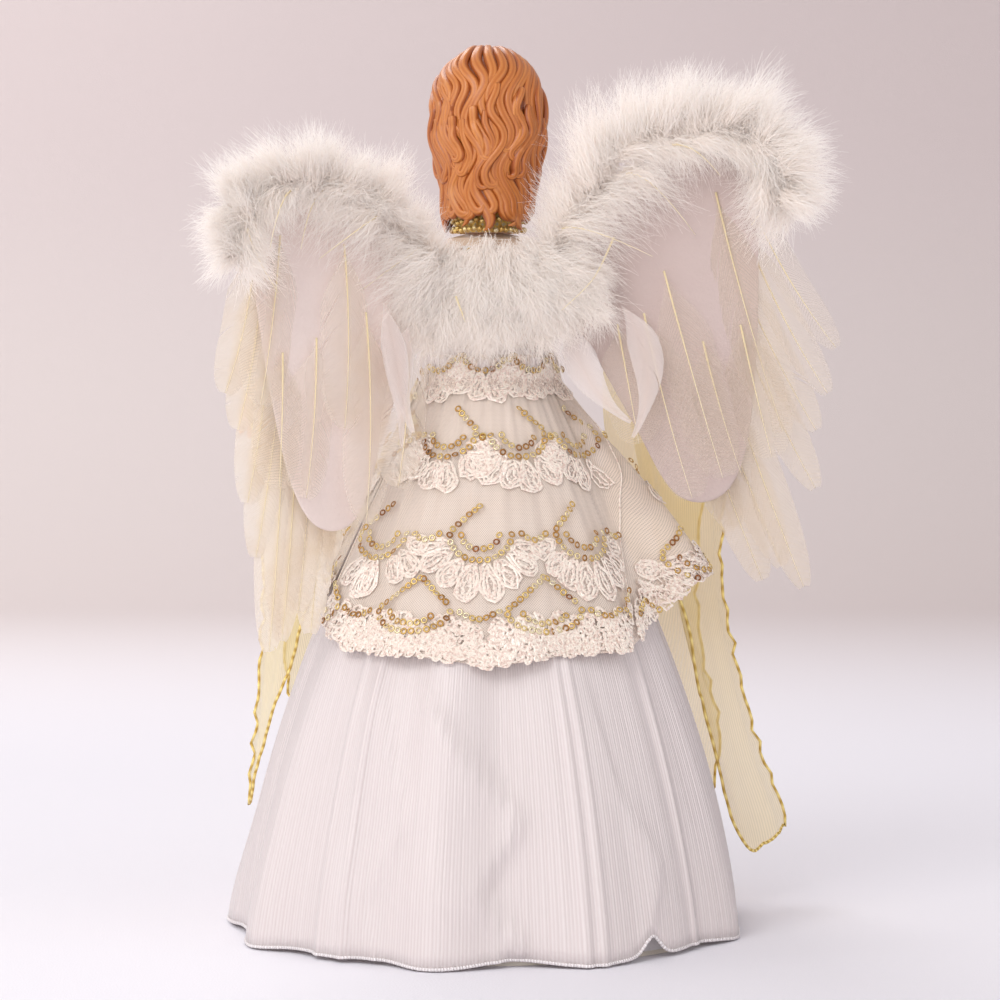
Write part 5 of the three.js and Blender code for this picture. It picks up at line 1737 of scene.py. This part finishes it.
FIRST_LOCKS, OVER_LOCKS = 29, 19
hair_rng = default_rng(101)
lanes = radians(linspace(-113, 113, FIRST_LOCKS))
first = over_crown(*lock_paths(lanes, np.full(FIRST_LOCKS, 0.985), (-0.06, 0.02), (1.6, 4.2), hair_rng))
over_lanes = radians(linspace(-98, 98, OVER_LOCKS) + hair_rng.normal(0, 4, OVER_LOCKS))
over_tops = hair_rng.uniform(0.5, 0.86, OVER_LOCKS)
over = lock_paths(over_lanes, over_tops, (0.06, 0.36), (3.4, 5.4), hair_rng)
first_locks = lock_patch(*first, (2.3, 2.9), (-1.7, -0.9), hair_rng)
over_locks = lock_patch(*over, (1.7, 2.3), (-0.4, 0.3), hair_rng)
add_piece("hair_moulding", [cap_patch, first_locks, over_locks], "head_unit", ["hair"])

# %% [markdown]
# ## Arms and hands
#
# The arms reach forwards and down with open hands. Each arm is a round section carried from shoulder to
# wrist, a little fuller below the elbow. A hand is a palm and five fingers that run into each other.
# Separate rounds would show creases where they meet, so they are melted into one skin by a fine remesh and
# then smoothed.

# %% Arms
SHOULDER = array([37.69, 0.0, 296.4])
WRIST = array([109.69, -42.0, 238.4])
ARM_RADIUS, WRIST_RADIUS = 7.5, 4.5
SIDES = {"left": 1, "right": -1}


def arm_place(s):
    """A point on the arm's middle line, from the shoulder at 0 to the wrist at 1."""
    return SHOULDER + s[..., None] * (WRIST - SHOULDER)


def arm_radius(s):
    """A straight taper from shoulder to wrist."""
    return mix(ARM_RADIUS, WRIST_RADIUS, clip(s, 0, 1))


def shoulder_steps(ball, steps, end, count):
    """Shares along the arm that first round off a ball before the shoulder and then run evenly to an end."""
    return concatenate([-ball * cos(linspace(0.15, pi / 2, steps))[:-1], linspace(0, end, count)])


def shoulder_dome(s, ball):
    """How the radius closes before the shoulder: the root of one less the squared share of the ball."""
    return sqrt(maximum(0.02, 1 - (np.minimum(s, 0) / ball) ** 2))


def mirror(points, side):
    """The doll's left as drawn, or its right with x turned round."""
    return points * [side, 1, 1]


def add_arm(name, side):
    """The arm: a rounded shoulder end, a soft elbow and a narrower wrist."""
    s = shoulder_steps(0.07, 6, 1, 26)
    reach = arm_radius(s) * shoulder_dome(s, 0.0735) + 0.35 * exp(-((s - 0.62) / 0.12) ** 2)
    patch = tubes(skin, mirror(arm_place(s), side)[None], UP, reach[None], 28)
    add_piece(name + "_arm_moulding", [patch], name + "_arm_unit", [name + "_arm"])


for name, side in SIDES.items():
    add_arm(name, side)

# %% Hands
FINGER_RADIUS = 1.7
HAND_LENGTH = 24.0


def finger(start, lean, bend, length):
    """A finger as a path: it leaves its knuckle leaning sideways and curls towards the palm."""
    t = linspace(0, 1, 12)[:, None]
    ahead = array([sin(lean), 0, cos(lean)])
    return array(start) + length * t * ahead + array([0, -bend, 0]) * t ** 2


def hand_patches(side):
    """Palm, wrist and five fingers along the arm, each a closed round, before they are melted together."""
    palm_length = HAND_LENGTH * 0.5
    paths = [finger([place * 3.4, 0, palm_length * 0.8], radians(place * 5), 2.4,
                    HAND_LENGTH * (0.5 - 0.05 * place ** 2)) for place in (-1.5, -0.5, 0.5, 1.5)]
    paths.append(finger([-4.0, 0, palm_length * 0.35], radians(-42), 1.5, HAND_LENGTH * 0.36))
    taper = concatenate([[0.75], linspace(1, 0.86, 9), [0.7, 0.35]])[None] * FINGER_RADIUS
    fingers = tubes(skin, array(paths), BACK, taper, 10)
    palm_half = palm_length * 0.62
    palm = grid_patch(skin, ball_grid(16, 24, 0.08) * [7.2, 3.2, palm_half] + palm_half * UP, around=True)
    palm.faces.extend(end_faces(16, 24))
    stub = tubes(skin, vector(0, 0, linspace(-0.6, 8, 8))[None], BACK, 4.1, 16)
    ahead = unit(unit(WRIST - SHOULDER) + [-0.7, 0.0, -0.45])
    palm_down = unit(cross(UP, ahead))
    axes = array([palm_down, -cross(ahead, palm_down), ahead])
    return [Patch(mirror(form.points @ axes + WRIST + 0.4 * ahead, side),
                  [faces[:, ::side] for faces in form.faces], skin) for form in (fingers, palm, stub)]


for name, side in SIDES.items():
    hand = add_piece(name + "_hand_moulding", hand_patches(side), name + "_arm_unit",
                     [name + "_hand"])
    melt = hand.modifiers.new("melt", "REMESH")
    melt.mode = "VOXEL"
    melt.voxel_size = 0.45 * MM
    melt.use_smooth_shade = True
    ease = hand.modifiers.new("ease", "SMOOTH")
    ease.factor = 0.5
    ease.iterations = 6

# %% [markdown]
# ## Gold organza sleeves
#
# A long sleeve lies over each arm, and its two sides hang far below it, longest at the wrist. It is sheer
# organza with a gold overlocked edge. The sheet runs from the foot of its front side up over the arm and
# down its back side. Each side hangs as low as it can without touching the dress, which is found by lowering
# it step by step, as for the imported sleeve. A gathered cap closes it over the shoulder.

# %% Organza and gold edging
organza = Finish("gold_organza")
organza_x, _ = organza.cut()
organza_weave = organza_x.wave(5200.0)
organza_cloud = organza.noise(22.0, 3.0)
organza_shade = organza.tint(organza_cloud, (230, 208, 134), (248, 236, 190))
# The sleeve on the doll's right, at negative x, is tinted a deeper, darker gold: painted shade.
organza_side, _, _ = organza.parts(organza.place())
organza_right_painted_shade = organza.tint(organza_side.eased(-0.03, -0.07) * 0.6, organza_shade, (222, 188, 112))
organza_gloss = organza.gloss(organza_right_painted_shade, 0.32, Sheen_Weight=0.4)
organza_thick = organza.through(organza_gloss, (250, 236, 184), 0.4)
organza.done(organza.sheer(organza_thick, 0.56 + organza_weave * 0.12))

gold_edge = Finish("gold_overlock")
gold_along, _ = gold_edge.cut()
gold_stitch = gold_along.wave(TAU * 150)
gold_edge_shade = gold_edge.tint(gold_stitch, (200, 164, 76), (248, 226, 146))
gold_edge.done(gold_edge.gloss(
    gold_edge_shade, 0.3, Metallic=0.35, Normal=gold_edge.bump(gold_stitch, 0.0004)))

# %% Sleeve shape
SLEEVE_ENDS = {"left": 46.0, "right": 36.0}
SLEEVE_SWAY = {
    "left": {1.0: [0, -5, -9, -8, -5, -1], -1.0: [0, -4, -10, -11, -7, -12]},
    "right": {1.0: [0, -2, -4, 4, 17, 34], -1.0: [0, -4, -7, -2, 10, 4]},
}
SLEEVE_STATIONS, SLEEVE_ROWS, SLEEVE_ARCH, SLEEVE_DRIFT = 48, 40, 13, 12
arm_back = unit(array([42.0, 72.0, 0.0]))
arm_out = unit(array([72.0, -42.0, 0.0]))
arm_steep = np.linalg.norm(WRIST - SHOULDER) / np.linalg.norm((WRIST - SHOULDER)[:2])


def dress_reach(angle, z):
    """How far out the dress stands: the skirt below the tunic's hem, and the tunic above it."""
    return where(z < TUNIC_HEM, skirt_reach(z), front_radius(angle, z) + CLOTH / 2)


def sleeve_leg(side, s, sign, row, foot, sway):
    """A point of a hanging side: off the arm by a spread and a ripple that grow downwards, then swayed."""
    centre = arm_place(s)
    ripple = 2.2 * row * (1 + sin(16 * s + sign)) + 0.9 * row * sin(41 * s + 2 * sign)
    spread = arm_radius(s) + CLEARANCE + CLOTH / 2 + 5 * row + ripple
    swayed = s * curve(array(sway)[:, None], row)[..., 0]
    place = centre + arm_back * (sign * spread)[..., None] + arm_out * swayed[..., None]
    place[..., 1] -= SLEEVE_DRIFT * s * row ** 2
    place[..., 2] = mix(centre[..., 2], foot, row)
    return mirror(place, side)


def sleeve_foot(side, s, sign, sway, end):
    """The lowest foot at each station, in steps of 2 mm, whose side stays 2.5 mm clear of the dress."""
    row = linspace(0, 1, 13)[:, None]
    foot = arm_place(s)[:, 2] - arm_radius(s) - CLEARANCE
    for _ in range(130):
        place = sleeve_leg(side, broadcast_to(s, (13, len(s))), sign, row, foot - 2, sway)
        reach = dress_reach(np.arctan2(place[..., 1], place[..., 0]), place[..., 2])
        clear = (reach < np.hypot(place[..., 0], place[..., 1]) - 2.5).all(axis=0)
        foot = where(clear & (foot > end), foot - 2, foot)
    smooth_foot = np.convolve(np.pad(foot, 4, mode="edge"), np.ones(9) / 9, mode="valid")
    return maximum(foot, smooth_foot)


# %% Sleeves with caps and edges
def add_cap(name, side):
    """The sleeve's gathered head: a round along the upper arm, closed over the shoulder and puffed below."""
    s = shoulder_steps(0.079, 8, 0.34, 34)
    reach = arm_radius(s) + 0.5 + 0.4 * smoothstep(s, 0, 0.06)
    reach = reach + 1.3 * sin(pi * clip((s - 0.1) / 0.24, 0, 1)) ** 2
    reach = shoulder_dome(s, 0.08) * (reach + 0.2 * cos(60 * s) * smoothstep(s, 0.02, 0.1))
    patch = tubes(organza, mirror(arm_place(s), side)[None], UP, reach[None], 48)
    return add_piece(name + "_sleeve_cap", [patch._replace(uv=patch.uv * 0.05)], name + "_arm_unit")


def add_sleeve(name, side):
    """The sheet: rows up its front side, over the arm and down its back side, at stations along the arm."""
    s = linspace(0.3, 0.985, SLEEVE_STATIONS)
    end = SLEEVE_ENDS[name] + 50 * (s - s[-1])
    row = linspace(1, 0, SLEEVE_ROWS)[:, None]
    wide = broadcast_to(s, (SLEEVE_ROWS, SLEEVE_STATIONS))
    legs = [sleeve_leg(side, wide, sign, row, sleeve_foot(side, s, sign, sway, end), sway)
            for sign, sway in SLEEVE_SWAY[name].items()]
    back, front = legs[0][::-1], legs[1]
    turn = linspace(pi, 0, SLEEVE_ARCH)[1:-1, None]
    reach = (arm_radius(s) + CLEARANCE + CLOTH / 2)[None]
    arch = arm_place(s) + arm_back * (reach * cos(turn))[..., None]
    arch = arch + arm_steep * UP * (reach * sin(turn))[..., None]
    points = concatenate([front, mirror(arch, side), back])
    down_cloth = np.cumsum(np.linalg.norm(np.diff(points, axis=0, prepend=points[:1]), axis=-1), axis=0)
    flutter = 1.1 * sin(down_cloth * TAU / 13) * smoothstep(s, 0.86, 0.985)
    lettuce = 1.0 * sin(down_cloth * TAU / 17 + 1) * smoothstep(s, 0.9, 0.985)
    points = points + mirror(arm_back, side) * flutter[..., None] + mirror(arm_out, side) * lettuce[..., None]
    patch = grid_patch(organza, points, pair(s * 0.1, down_cloth * MM), flip=side > 0)
    sheet = add_piece(name + "_sleeve_cloth", [patch], name + "_arm_unit", [name + "_sleeve"])
    edge = concatenate([points[0], points[1:-1, -1], points[-1, ::-1]])[None]
    binding = tubes(gold_edge, edge, mirror(arm_back, side) + 0.3 * UP, 0.75)
    hem = add_piece(name + "_sleeve_edge", [binding], name + "_arm_unit")
    cap = add_cap(name, side)
    grid_area(points)


for name, side in SIDES.items():
    add_sleeve(name, side)
